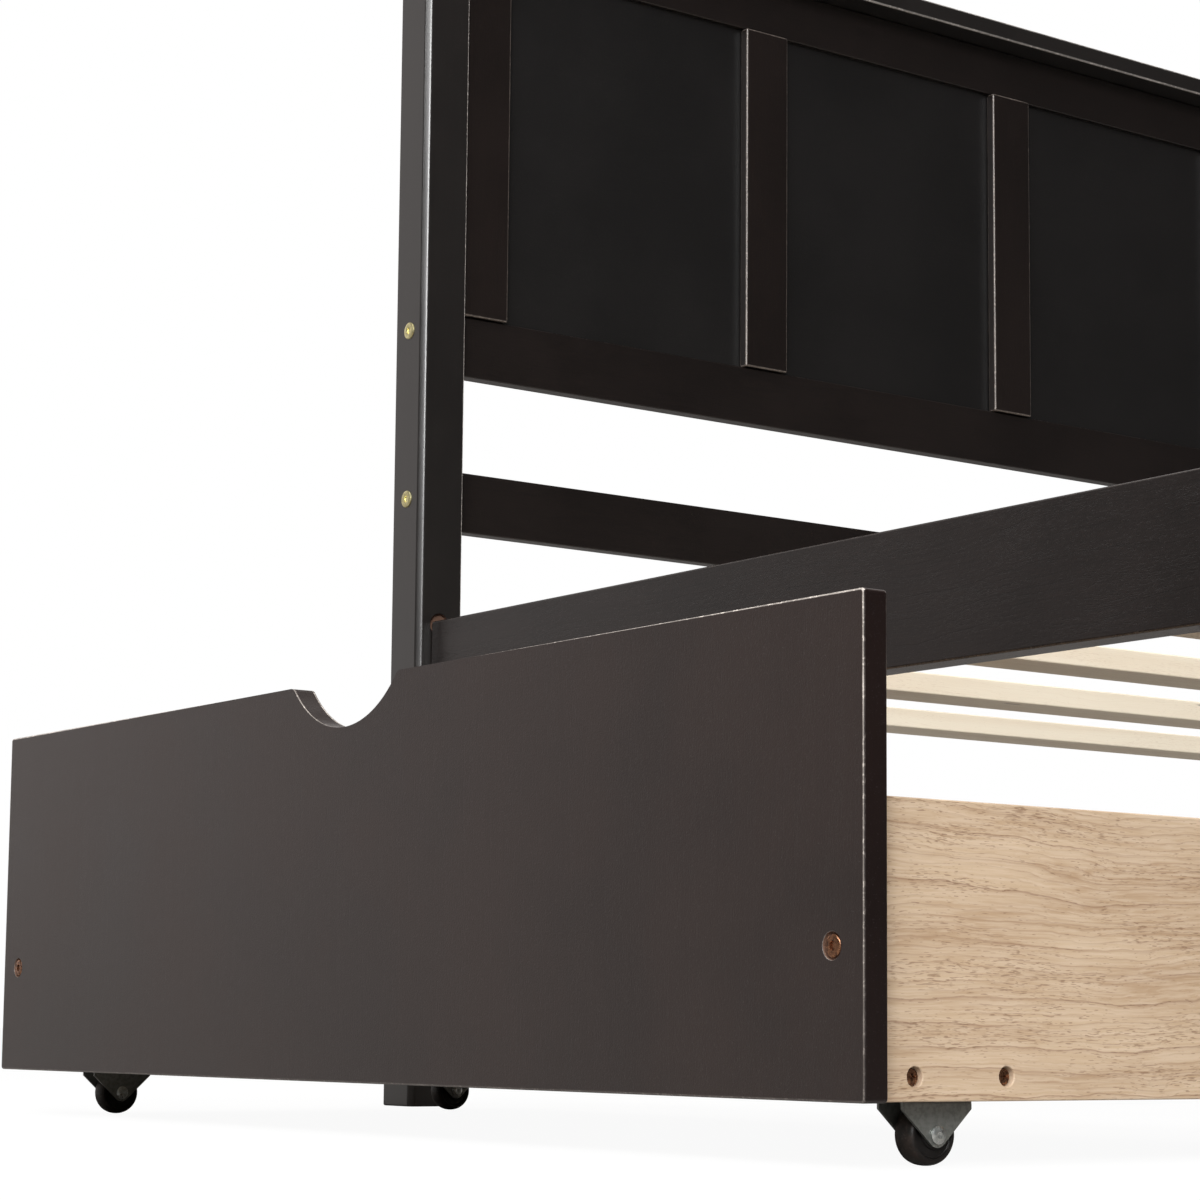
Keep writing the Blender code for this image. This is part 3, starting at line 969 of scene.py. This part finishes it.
def drill(piece: bpy.types.Object, centre: Vector, axis: int, radius: float,
          depth: float, outward: int, lining: int, lip: float = 0.0004,
          sides: int = 40) -> None:
    """Drill a blind hole and give its wall another material slot.

    Args:
        piece: Board to drill, in place.
        centre: Centre of the hole's mouth.
        axis: Axis of the hole.
        radius: Radius of the hole.
        depth: Depth below the mouth.
        outward: 1 or -1, the way the mouth faces along the axis.
        lining: Material slot of the hole's wall and floor.
        lip: Chamfer round the mouth, which keeps the board's own finish.
        sides: Points round the hole.
    """
    rows = ((0.004, radius + lip), (0.0, radius + lip), (-lip, radius), (-depth, radius))
    rings = [turned_ring(centre, axis, s * outward, round_outline(r), sides) for s, r in rows]
    mesh = mesh_of("drill_bit", loft(rings))
    bit = bpy.data.objects.new("drill_bit", mesh)
    bpy.context.scene.collection.objects.link(bit)
    mod = piece.modifiers.new("drill", "BOOLEAN")
    mod.operation = "DIFFERENCE"
    mod.solver = "EXACT"
    mod.object = bit
    bpy.context.view_layer.update()
    graph = bpy.context.evaluated_depsgraph_get()
    cut = bpy.data.meshes.new_from_object(piece.evaluated_get(graph))
    piece.modifiers.clear()
    old, piece.data = piece.data, cut
    bpy.data.meshes.remove(old)
    bpy.data.objects.remove(bit, do_unlink=True)
    bpy.data.meshes.remove(mesh)
    for polygon in cut.polygons:
        away = polygon.center - centre
        below = -away[axis] * outward
        away[axis] = 0.0
        if lip * 1.1 < below < depth * 1.01 and away.length < radius * 1.02:
            polygon.material_index = lining


def lathe(profile: Sequence[tuple[float, float]], centre: Vector, axis: int,
          sides: int = 64, closed: bool = True) -> bmesh.types.BMesh:
    """Turn a profile round an axis.

    Args:
        profile: Radius and station of each profile point.
        centre: Point on the axis.
        axis: Axis of the turning.
        sides: Points round the axis.
        closed: Whether the profile is a loop round a bore.

    Returns:
        The turned skin.
    """
    rings = [turned_ring(centre, axis, s, round_outline(r), sides) for r, s in profile]
    return loft(rings, closed)


# ------------------------------------------------------------------- bed frame
@dataclass
class BedFrame:
    """Posts, rails, ledgers and slats.

    Attributes:
        shop: Workshop that takes the pieces.
        body: Body that carries them.
        post_chamfer: Reach of the chamfer on a post's outer corner.
        post_arris: Rounding of the posts' other edges.
        rail_arris: Rounding of the rails.
        ledger_arris: Rounding of the ledgers.
        slat_arris: Rounding of the slats.
        hole_radius: Radius of the bolt access holes in the posts.
        hole_depth: Depth of those holes.
        hole_rise: Height of a hole's middle over the side rail's top.
        bolt_rises: Cross rails with a bolt in each end, and how far up each rail it is.
        bolt: Cap bolts through the head posts.
    """

    shop: Workshop
    body: str = "bed_frame"
    post_chamfer: float = 0.0042
    post_arris: float = 0.0014
    rail_arris: float = 0.0018
    ledger_arris: float = 0.0010
    slat_arris: float = 0.0014
    hole_radius: float = 0.0092
    hole_depth: float = 0.0036
    hole_rise: float = -0.0020
    bolt_rises: tuple[tuple[str, float], ...] = (("headboard_bottom_rail", 0.67),
                                                 ("headboard_lower_rail", 0.48))
    bolt: BoltHead = field(default_factory=lambda: BoltHead(
        0.0072, 0.0012, 0.0009, 0.0052, 0.0011, Drive.HEX, Palette.brass))

    def build_posts(self) -> None:
        """Four square posts, each with a bolt hole half hidden by the side rail."""
        rail_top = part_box("side_rail_near")[1].z
        for end, facing in (("head", 1), ("foot", -1)):
            for side in ("near", "far"):
                node = f"{end}_post_{side}"
                low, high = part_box(node)
                inner = 1 if side == "near" else -1
                piece = self.shop.put_on_shelf(node + "_square", chamfered_post(
                    low, high, (facing, -inner), self.post_chamfer, self.post_arris))
                mouth = Vector((high.x if facing > 0 else low.x, (low.y + high.y) / 2,
                                rail_top + self.hole_rise))
                finishes = [Palette.post, Palette.stained]
                Palette.load(piece, finishes)
                drill(piece, mouth, 0, self.hole_radius, self.hole_depth, facing, 1)

                def rubbed(point: Vector) -> float:
                    """Painted highlight, with some rubbed lacquer, on the arrises beside the
                    mattress, hardly any elsewhere.

                    Args:
                        point: Point on the post.

                    Returns:
                        Share of painted highlight and wear, from 0 to 1.
                    """
                    gaps = [min(point[i] - low[i], high[i] - point[i]) for i in (0, 1)]
                    if max(gaps) > self.post_arris * 0.98:
                        return 0.0
                    return 1.0 if inner * (point.y - (low.y + high.y) / 2) > 0 else 0.12

                self.shop.finish_off(piece, self.body, finishes, Grain.Z, rubbed, node, 30.0)

    def build_rails(self) -> None:
        """Side rails, foot rail and the ledgers that carry the slats."""
        for node in ("side_rail_near", "side_rail_far"):
            self.shop.plank(node, self.body, Palette.rail, Grain.X, self.rail_arris)
        self.shop.plank("foot_rail", self.body, Palette.rail, Grain.Y, self.rail_arris)
        for node in ("ledger_near", "ledger_far"):
            self.shop.plank(node, self.body, Palette.timber, Grain.X, self.ledger_arris)

    def build_slats(self) -> None:
        """Pale cross slats."""
        for node in sorted(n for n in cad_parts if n.startswith("slat_")):
            self.shop.plank(node, self.body, Palette.timber, Grain.Y, self.slat_arris)

    def build_bolts(self) -> None:
        """Cap bolts through the outer faces of the head posts into the cross rails."""
        for side, outward in (("near", -1), ("far", 1)):
            low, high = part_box(f"head_post_{side}")
            face = low.y if outward < 0 else high.y
            middle = (low.x + high.x) / 2
            for rail, rise in self.bolt_rises:
                rail_low, rail_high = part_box(rail)
                height = rail_low.z + rise * (rail_high.z - rail_low.z)
                self.bolt.build(self.shop, f"bolt_{side}_{rail}",
                                Vector((middle, face, height)), 1, outward, self.body)

    def build(self) -> None:
        """Build every piece of the frame."""
        self.build_posts()
        self.build_rails()
        self.build_slats()
        self.build_bolts()


@dataclass
class Headboard:
    """Cap, cross rails, panel and applied stiles between the head posts.

    Attributes:
        shop: Workshop that takes the pieces.
        body: Body that carries them.
        cap_arris: Rounding of the cap.
        rail_arris: Rounding of the cross rails.
        panel_arris: Rounding of the panel.
        stile_arris: Rounding of the stiles.
    """

    shop: Workshop
    body: str = "bed_frame"
    cap_arris: float = 0.0020
    rail_arris: float = 0.0010
    panel_arris: float = 0.0005
    stile_arris: float = 0.0018

    def build(self) -> None:
        """Build every board of the headboard."""
        def make(node: str, finish: Finish, grain: Grain, arris: float) -> None:
            """One board of the headboard."""
            self.shop.plank(node, self.body, finish, grain, arris)

        make("headboard_cap", Palette.post, Grain.Y, self.cap_arris)
        for name in ("top", "bottom", "lower"):
            make(f"headboard_{name}_rail", Palette.cross_rail, Grain.Y, self.rail_arris)
        make("headboard_panel", Palette.panel, Grain.Y, self.panel_arris)
        for node in sorted(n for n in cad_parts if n.startswith("stile_")):
            make(node, Palette.stile, Grain.Z, self.stile_arris)


# --------------------------------------------------------------------- casters
@dataclass
class Caster:
    """A fixed caster: pressed bracket, riveted axle and solid wheel.

    Attributes:
        shop: Workshop that takes the pieces.
        sheet: Thickness of the pressed bracket.
        bend: Outer radius of its bends.
        shoulder: Height where its plates start to taper.
        tip: Radius of the plates' lower tips.
        rivet_head: Radius of the rivet's head.
        rivet_rise: Height of the rivet's dome.
    """

    shop: Workshop
    sheet: float = 0.0016
    bend: float = 0.0060
    shoulder: float = 0.0275
    tip: float = 0.0062
    rivet_head: float = 0.0046
    rivet_rise: float = 0.0022

    def half_width(self, height: float, axle: Vector, reach: float) -> float:
        """Half the width of a bracket plate at a height.

        Args:
            height: Height over the floor.
            axle: Centre of the axle.
            reach: Half width above the shoulder.

        Returns:
            The half width.
        """
        if height >= self.shoulder:
            return reach
        tangent = axle.z - self.tip * 0.64
        side = self.tip * 0.77
        if height <= tangent:
            drop = axle.z - height
            return math.sqrt(max(self.tip ** 2 - drop ** 2, 0.0))
        share = (height - tangent) / (self.shoulder - tangent)
        return side + (reach - side) * share

    def bracket_rows(self, low: Vector, high: Vector, axle: Vector) -> list[Ring]:
        """Rows of points over the bracket's outer skin, from tip over the top to tip.

        Args:
            low: Lowest corner of the bracket.
            high: Highest corner of the bracket.
            axle: Centre of the axle.

        Returns:
            One row of points for each station along the section.
        """
        plate = (high.x - low.x) / 2 - self.rivet_rise + 0.0004
        reach = (high.y - low.y) / 2
        top = high.z
        heights = [axle.z - self.tip * math.cos(math.radians(a)) for a in range(4, 51, 8)]
        heights += [self.shoulder - 0.010, self.shoulder - 0.005, self.shoulder - 0.0012,
                    self.shoulder, self.shoulder + 0.0006]
        section = [(-plate, h) for h in heights]
        for i in range(9):
            turn = math.radians(90 * i / 8)
            section.append((-plate + self.bend * (1 - math.cos(turn)),
                            top - self.bend + self.bend * math.sin(turn)))
        section += [(-x, z) for x, z in reversed(section)]
        columns = 9
        rows = []
        for x, z in section:
            half = self.half_width(z, axle, reach)
            rows.append([Vector((axle.x + x, axle.y + half * (2 * k / (columns - 1) - 1), z))
                         for k in range(columns)])
        return rows

    def build_bracket(self, place: str, body: str) -> None:
        """Make the pressed bracket with its rivet.

        Args:
            place: Which caster, such as "head_front_left".
            body: Body that carries it.
        """
        node = f"fork_{place}"
        low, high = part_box(node)
        wheel_low, wheel_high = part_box(f"wheel_{place}")
        axle = (wheel_low + wheel_high) / 2
        rows = self.bracket_rows(low, high, axle)
        bm = bmesh.new()
        grid = [[bm.verts.new(point) for point in row] for row in rows]
        for near, far in zip(grid, grid[1:]):
            for k in range(len(near) - 1):
                bm.faces.new((near[k], near[k + 1], far[k + 1], far[k]))
        piece = self.shop.put_on_shelf(f"bracket_{place}", bm)
        self.face_out(piece, axle)
        solid = piece.modifiers.new("sheet", "SOLIDIFY")
        solid.thickness = self.sheet
        solid.offset = -1.0
        edge = piece.modifiers.new("edge", "BEVEL")
        edge.width = 0.0003
        edge.segments = 2
        edge.limit_method = "ANGLE"
        edge.angle_limit = math.radians(60)
        self.shop.finish_off(piece, body, [Palette.zinc], Grain.Z,
                             lambda p: 1.0 if p.z < axle.z - self.tip * 0.6 else 0.0, node)
        self.build_rivet(place, body, low, high, axle)

    @staticmethod
    def face_out(piece: bpy.types.Object, axle: Vector) -> None:
        """Turn an open skin so that its normals point away from the axle.

        Args:
            piece: The bent sheet.
            axle: Centre of the axle under it.
        """
        mesh = piece.data
        top = max(mesh.polygons, key=lambda p: p.center.z)
        if (top.center - axle).dot(top.normal) < 0:
            mesh.flip_normals()

    def build_rivet(self, place: str, body: str, low: Vector, high: Vector,
                    axle: Vector) -> None:
        """Make the riveted axle with a domed head and a rolled end.

        Args:
            place: Which caster.
            body: Body that carries it.
            low: Lowest corner of the bracket.
            high: Highest corner of the bracket.
            axle: Centre of the axle.
        """
        half = (high.x - low.x) / 2
        plate = half - self.rivet_rise + 0.0004
        head = self.rivet_head
        dome = [(head * 0.94, plate), (head, plate + 0.0004), (head * 0.99, plate + 0.0009),
                (head * 0.90, half - 0.0007), (head * 0.70, half - 0.0002),
                (head * 0.40, half), (head * 0.22, half - 0.0001), (head * 0.10, half - 0.0004)]
        stem = [(0.0030, plate - 0.0020)] + dome
        profile = [(r, -s) for r, s in reversed(stem)] + stem
        piece = self.shop.put_on_shelf(f"rivet_{place}",
                                       lathe(profile, axle, 0, 40, closed=False))

        def rim(point: Vector) -> float:
            """How close a point is to the rivet's rim."""
            radius = math.hypot(point.y - axle.y, point.z - axle.z)
            return max(0.0, 1.0 - abs(radius / head - 0.95) * 7.0)

        self.shop.finish_off(piece, body, [Palette.rivet], Grain.X, rim, smooth_angle=35.0)

    def build_wheel(self, place: str) -> None:
        """Make the wheel with a crowned tread, dished sides and a hub boss.

        Args:
            place: Which caster.
        """
        node = f"wheel_{place}"
        low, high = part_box(node)
        centre = (low + high) / 2
        radius = (high.z - low.z) / 2
        half = (high.x - low.x) / 2
        side = [
            (0.00310, 0.0), (0.00310, half), (0.00620, half), (0.00680, half - 0.0003),
            (0.00720, half - 0.0013), (0.01080, half - 0.0015), (0.01130, half - 0.0012),
            (0.01170, half - 0.0004), (radius - 0.0022, half - 0.0003),
            (radius - 0.0014, half - 0.0007), (radius - 0.0008, half - 0.0016),
            (radius - 0.0004, half - 0.0028), (radius - 0.0001, half - 0.0045),
            (radius, 0.0006)]
        profile = side[1:] + [(r, -s) for r, s in reversed(side[1:])]
        piece = self.shop.put_on_shelf(f"tread_{place}", lathe(profile, centre, 0, 72))

        def tread(point: Vector) -> float:
            """How far a point is on the rolling tread."""
            out = math.hypot(point.y - centre.y, point.z - centre.z)
            return max(0.0, min(1.0, (out - radius + 0.0030) / 0.0020))

        self.shop.finish_off(piece, node, [Palette.wheel], Grain.X, tread, node, 50.0)


# --------------------------------------------------------------------- drawers
@dataclass
class RollingDrawer:
    """One drawer: notched front, foil-covered box and four casters.

    Attributes:
        shop: Workshop that takes the pieces.
        which: "head" or "foot".
        corner: Radius of the front's outer corners.
        arris: Rounding of the front's edges.
        side_arris: Rounding of the sides.
        box_arris: Rounding of the back, the bottom and the caster boards.
        notch_half: Middle of the notch to the centre of its shoulder.
        notch_deep: Depth of the notch.
        shoulder: Radius of the notch's shoulders.
        bolt_in: Front bolt from the end of the front.
        bolt_up: Front bolt over the floor.
        recess: Radius of the front bolts' recesses.
        recess_deep: Depth of those recesses.
        screw_height: Height of the side screws over the floor.
        screw_rows: Side screws behind the face of the front.
        bore: Radius of the counterbores.
        bore_deep: Depth of the counterbores.
    """

    shop: Workshop
    which: str
    corner: float = 0.0022
    arris: float = 0.0013
    side_arris: float = 0.0009
    box_arris: float = 0.0008
    notch_half: float = 0.0644
    notch_deep: float = 0.0290
    shoulder: float = 0.0060
    bolt_in: float = 0.0235
    bolt_up: float = 0.1051
    recess: float = 0.0068
    recess_deep: float = 0.0018
    screw_height: float = 0.0435
    screw_rows: tuple[float, ...] = (0.0468, 0.1070)
    bore: float = 0.0050
    bore_deep: float = 0.0040
    bolt: BoltHead = field(default_factory=lambda: BoltHead(
        0.0060, 0.0015, 0.0014, 0.0044, 0.0013, Drive.HEX, Palette.bronze))
    screw: BoltHead = field(default_factory=lambda: BoltHead(
        0.0043, 0.0018, 0.0012, 0.0046, 0.0015, Drive.CROSS, Palette.bronze))

    @property
    def body(self) -> str:
        """Body that carries the drawer."""
        return f"drawer_{self.which}"

    def front_outline(self, low: Vector, high: Vector) -> list[tuple[float, float]]:
        """Outline of the front with rounded corners and the hand notch.

        Args:
            low: Lowest corner of the front.
            high: Highest corner of the front.

        Returns:
            (x, z) points, clockwise from the notch's left shoulder.
        """
        def arc(cx: float, cz: float, r: float, start: float, end: float,
                steps: int) -> list[tuple[float, float]]:
            """Points of an arc, angles in degrees."""
            turns = [math.radians(start + (end - start) * i / steps) for i in range(steps + 1)]
            return [(cx + r * math.cos(t), cz + r * math.sin(t)) for t in turns]

        middle = (low.x + high.x) / 2
        top = high.z
        reach, drop, small = self.notch_half, self.notch_deep, self.shoulder
        bowl = (reach ** 2 + drop ** 2) / (2 * drop) - small
        centre = top - drop + bowl
        lean = math.degrees(math.atan2(reach, centre - (top - small)))
        r = self.corner
        points = arc(middle - reach, top - small, small, 90, 90 - lean, 6)
        points += arc(middle, centre, bowl, 270 - lean, 270 + lean, 36)[1:-1]
        points += arc(middle + reach, top - small, small, 90 + lean, 90, 6)
        points += arc(high.x - r, top - r, r, 90, 0, 4)
        points += arc(high.x - r, low.z + r, r, 0, -90, 4)
        points += arc(low.x + r, low.z + r, r, 270, 180, 4)
        points += arc(low.x + r, top - r, r, 180, 90, 4)
        return points

    def build_front(self) -> None:
        """The lacquered front board."""
        node = f"{self.body}_front"
        low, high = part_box(node)
        outline = self.front_outline(low, high)
        bm = bmesh.new()
        rows = [[bm.verts.new((x, y, z)) for x, z in outline] for y in (low.y, high.y)]
        caps = [bm.faces.new(row) for row in rows]
        for i in range(len(outline)):
            j = (i + 1) % len(outline)
            bm.faces.new((rows[0][i], rows[0][j], rows[1][j], rows[1][i]))
        edges = list({edge for cap in caps for edge in cap.edges})
        soften(bm, edges, self.arris, 4)
        piece = self.shop.put_on_shelf(node + "_board", bm)
        finishes = [Palette.front_board, Palette.stained, Palette.board_end_painted_shade]
        Palette.load(piece, finishes)
        seats = {"left": low.x + self.bolt_in, "right": high.x - self.bolt_in}
        for x in seats.values():
            drill(piece, Vector((x, low.y, self.bolt_up)), 1, self.recess, self.recess_deep,
                  -1, 1)
        # The two end faces take the darker lacquer copy, which paints shade on them.
        for polygon in piece.data.polygons:
            if min(polygon.center.x - low.x, high.x - polygon.center.x) < 0.0004:
                polygon.material_index = 2

        def arris(point: Vector) -> float:
            """How much an arris is lightened, partly rubbed lacquer and partly painted glints and
            highlight: most along the top, least down the ends, and also round the lips of the
            bolt recesses.

            Args:
                point: Point on the front.

            Returns:
                Share of wear and painted highlight, from 0 to 1.
            """
            gap = min(point.y - low.y, high.y - point.y)
            if not 0.00005 < gap < self.arris * 0.9:
                return 0.0
            ends = min(point.x - low.x, high.x - point.x) < 0.003
            if ends and point.z < high.z - 0.004:
                return 0.22
            return 0.35 if point.z < (low.z + high.z) / 2 else 1.0

        self.shop.finish_off(piece, self.body, finishes, Grain.Z, arris, node, 50.0)
        for name, x in seats.items():
            seat = Vector((x, low.y + self.recess_deep, self.bolt_up))
            self.bolt.build(self.shop, f"front_bolt_{self.which}_{name}", seat, 1, -1,
                            self.body)

    def build_sides(self) -> None:
        """The two foil-covered sides with their counterbored screws."""
        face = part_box(f"{self.body}_front")[0].y
        for name, outward in (("left", -1), ("right", 1)):
            node = f"{self.body}_side_{name}"
            low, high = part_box(node)
            piece = self.shop.put_on_shelf(node + "_board",
                                           rounded_box(low, high, self.side_arris))
            finishes = [Palette.foil, Palette.core]
            Palette.load(piece, finishes)
            outer = low.x if outward < 0 else high.x
            for row in self.screw_rows:
                mouth = Vector((outer, face + row, self.screw_height))
                drill(piece, mouth, 0, self.bore, self.bore_deep, outward, 1)
            self.shop.finish_off(piece, self.body, finishes, Grain.Y,
                                 arris_of_box(low, high, self.side_arris), node, 35.0)
            for i, row in enumerate(self.screw_rows):
                seat = Vector((outer - outward * self.bore_deep, face + row,
                               self.screw_height))
                self.screw.build(self.shop, f"side_screw_{self.which}_{name}_{i + 1}", seat, 0,
                                 outward, self.body)

    def build_box(self) -> None:
        """Back, bottom and the boards that carry the casters."""
        for part, finish in (("back", Palette.foil), ("bottom", Palette.foil),
                             ("caster_board_front", Palette.timber),
                             ("caster_board_rear", Palette.timber)):
            self.shop.plank(f"{self.body}_{part}", self.body, finish, Grain.X, self.box_arris)

    def build(self) -> None:
        """Build the drawer with its casters."""
        self.build_front()
        self.build_sides()
        self.build_box()
        caster = Caster(self.shop)
        for end in ("front", "rear"):
            for side in ("left", "right"):
                place = f"{self.which}_{end}_{side}"
                caster.build_bracket(place, self.body)
                caster.build_wheel(place)


# ----------------------------------------------------------------------- studio
@dataclass
class Lamp:
    """A soft area lamp.

    Attributes:
        name: Name of the lamp.
        place: Where it stands, from the pulled-out drawer's head-end corner.
        target: Where it points, from the same corner.
        size: Width and height of its face.
        watts: Its power.
    """

    name: str
    place: tuple[float, float, float]
    target: tuple[float, float, float]
    size: tuple[float, float]
    watts: float

    def build(self, corner: Vector) -> None:
        """Hang the lamp.

        Args:
            corner: The pulled-out drawer's head-end corner on the floor.
        """
        data = bpy.data.lights.new(self.name, "AREA")
        data.shape = "RECTANGLE"
        data.size, data.size_y = self.size
        data.energy = self.watts
        lamp = bpy.data.objects.new(self.name, data)
        lamp.location = corner + Vector(self.place)
        aim = corner + Vector(self.target) - lamp.location
        lamp.rotation_mode = "QUATERNION"
        lamp.rotation_quaternion = aim.to_track_quat("-Z", "Y")
        bpy.context.scene.collection.objects.link(lamp)


@dataclass
class Studio:
    """Pale floor, soft light and the camera.

    Attributes:
        eye: Camera from the pulled-out drawer's head-end corner on the floor.
        heading: Turn of the view from -X towards +Y, in degrees.
        rise: Upward tilt in degrees.
        roll: Roll in degrees.
        lens: Focal length in millimetres on a 36 mm sensor.
        lift: Vertical shift of the frame.
        dark_side: Brightness of the room behind the camera.
        bright_side: Brightness of the cloth behind and to the left of the bed.
        cloth_way: Direction of the cloth's middle.
        cloth_tint: Colour of the cloth.
        floor_bounce: Colour that the floor throws back on the bed.
        floor_glow: How much of the floor's own white the camera sees.
        lamps: The lamps.
    """

    eye: tuple[float, float, float] = (1.98312, -0.89066, 0.06562)
    heading: float = 35.7436
    rise: float = 6.6684
    roll: float = 0.5234
    lens: float = 86.617
    lift: float = 0.075
    dark_side: float = 0.070
    bright_side: float = 1.02
    cloth_way: tuple[float, float, float] = (-0.877, 0.480, 0.10)
    cloth_tint: tuple[float, float, float, float] = (1.0, 0.940, 0.920, 1.0)
    floor_bounce: Colour = (0.36, 0.345, 0.33)
    floor_glow: float = 0.94
    lamps: tuple[Lamp, ...] = (
        Lamp("key_softbox", (4.6, -2.9, 2.5), (0.7, 0.5, 0.35), (2.2, 1.6), 330.0),
        Lamp("side_softbox", (2.9, -4.1, 4.3), (0.0, 0.4, 0.8), (2.6, 2.2), 190.0),
        Lamp("front_softbox", (0.1, -4.6, 3.3), (0.0, 0.4, 0.8), (1.6, 1.6), 60.0),
        Lamp("top_softbox", (0.6, -0.4, 4.4), (0.6, 0.2, 0.0), (3.0, 3.0), 95.0),
    )

    def build_floor(self) -> None:
        """A wide pale floor, bright enough to meet the backdrop without a line."""
        bm = bmesh.new()
        bmesh.ops.create_grid(bm, x_segments=2, y_segments=2, size=30.0)
        mesh = bpy.data.meshes.new("floor")
        bm.to_mesh(mesh)
        bm.free()
        floor = bpy.data.objects.new("floor", mesh)
        bpy.context.scene.collection.objects.link(floor)
        made = bpy.data.materials.new("pale_floor")
        made.use_nodes = True
        nodes = made.node_tree.nodes
        w = Wiring(made.node_tree)
        seen = w.put("LightPath").outputs["Is Camera Ray"]
        tone = w.noise(w.put("TexCoord").outputs["Object"], 3.0, 3.0)
        shade = w.blend(tone, (0.86, 0.86, 0.86), (0.90, 0.90, 0.90))
        shader = nodes["Principled BSDF"]
        w.fill(shader, {"Base Color": w.blend(seen, self.floor_bounce, shade),
                        "Roughness": 0.85, "Specular IOR Level": 0.1})
        glow = w.put("Emission", {"Color": (1.0, 1.0, 1.0, 1.0), "Strength": 1.0})
        mix = w.put("MixShader", {0: w.times(seen, self.floor_glow), 1: shader.outputs[0],
                                  2: glow.outputs[0]})
        w.fill(nodes["Material Output"], {"Surface": mix.outputs[0]})
        mesh.materials.append(made)

    def build_world(self) -> None:
        """White to the camera; to the surfaces, white cloth on one side, dark on the other."""
        world = bpy.data.worlds.new("studio")
        bpy.context.scene.world = world
        world.use_nodes = True
        world.node_tree.nodes.clear()
        w = Wiring(world.node_tree)
        way = w.put("TexCoord").outputs["Generated"]
        side = w.put("VectorMath", {0: way, 1: self.cloth_way}, operation="DOT_PRODUCT")
        level = w.spread(side.outputs["Value"], 0.17, 0.70, self.dark_side, self.bright_side)
        cloth = w.put("Background", {"Color": self.cloth_tint, "Strength": level})
        white = w.put("Background", {"Color": (1.0, 1.0, 1.0, 1.0), "Strength": 1.0})
        seen = w.put("LightPath").outputs["Is Camera Ray"]
        mix = w.put("MixShader", {0: seen, 1: cloth.outputs[0], 2: white.outputs[0]})
        w.put("OutputWorld", {"Surface": mix.outputs[0]})

    def build_camera(self, corner: Vector) -> None:
        """Stand the camera low beside the pulled-out drawer.

        Args:
            corner: The drawer's head-end corner on the floor.
        """
        turn, tilt, roll = (math.radians(a) for a in (self.heading, self.rise, self.roll))
        ahead = Vector((-math.cos(turn) * math.cos(tilt), math.sin(turn) * math.cos(tilt),
                        math.sin(tilt)))
        right = ahead.cross(Vector((0.0, 0.0, 1.0))).normalized()
        up = right.cross(ahead)
        rolled = right * math.cos(roll) + up * math.sin(roll)
        lifted = up * math.cos(roll) - right * math.sin(roll)
        data = bpy.data.cameras.new("camera")
        data.lens = self.lens
        data.sensor_width = 36.0
        data.shift_y = self.lift
        data.clip_start = 0.05
        data.clip_end = 100.0
        data.dof.use_dof = False
        camera = bpy.data.objects.new("camera", data)
        bpy.context.scene.collection.objects.link(camera)
        axes = Matrix((rolled, lifted, -ahead)).transposed().to_4x4()
        camera.matrix_world = Matrix.Translation(corner + Vector(self.eye)) @ axes
        bpy.context.scene.camera = camera

    def build(self) -> None:
        """Set up the whole studio."""
        low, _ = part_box("drawer_head_front")
        corner = Vector((low.x, low.y, 0.0))
        bpy.context.scene.view_settings.view_transform = "Standard"
        self.build_floor()
        self.build_world()
        self.build_camera(corner)
        for lamp in self.lamps:
            lamp.build(corner)


def write_sizes() -> None:
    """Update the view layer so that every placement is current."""
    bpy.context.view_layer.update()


def main() -> None:
    """Build the bed piece by piece, then the studio."""
    logging.basicConfig(level=logging.INFO, format="%(message)s")
    shop = Workshop()
    BedFrame(shop).build()
    Headboard(shop).build()
    for which in ("head", "foot"):
        RollingDrawer(shop, which).build()
    Studio().build()
    write_sizes()


if __name__ == "__main__":
    main()
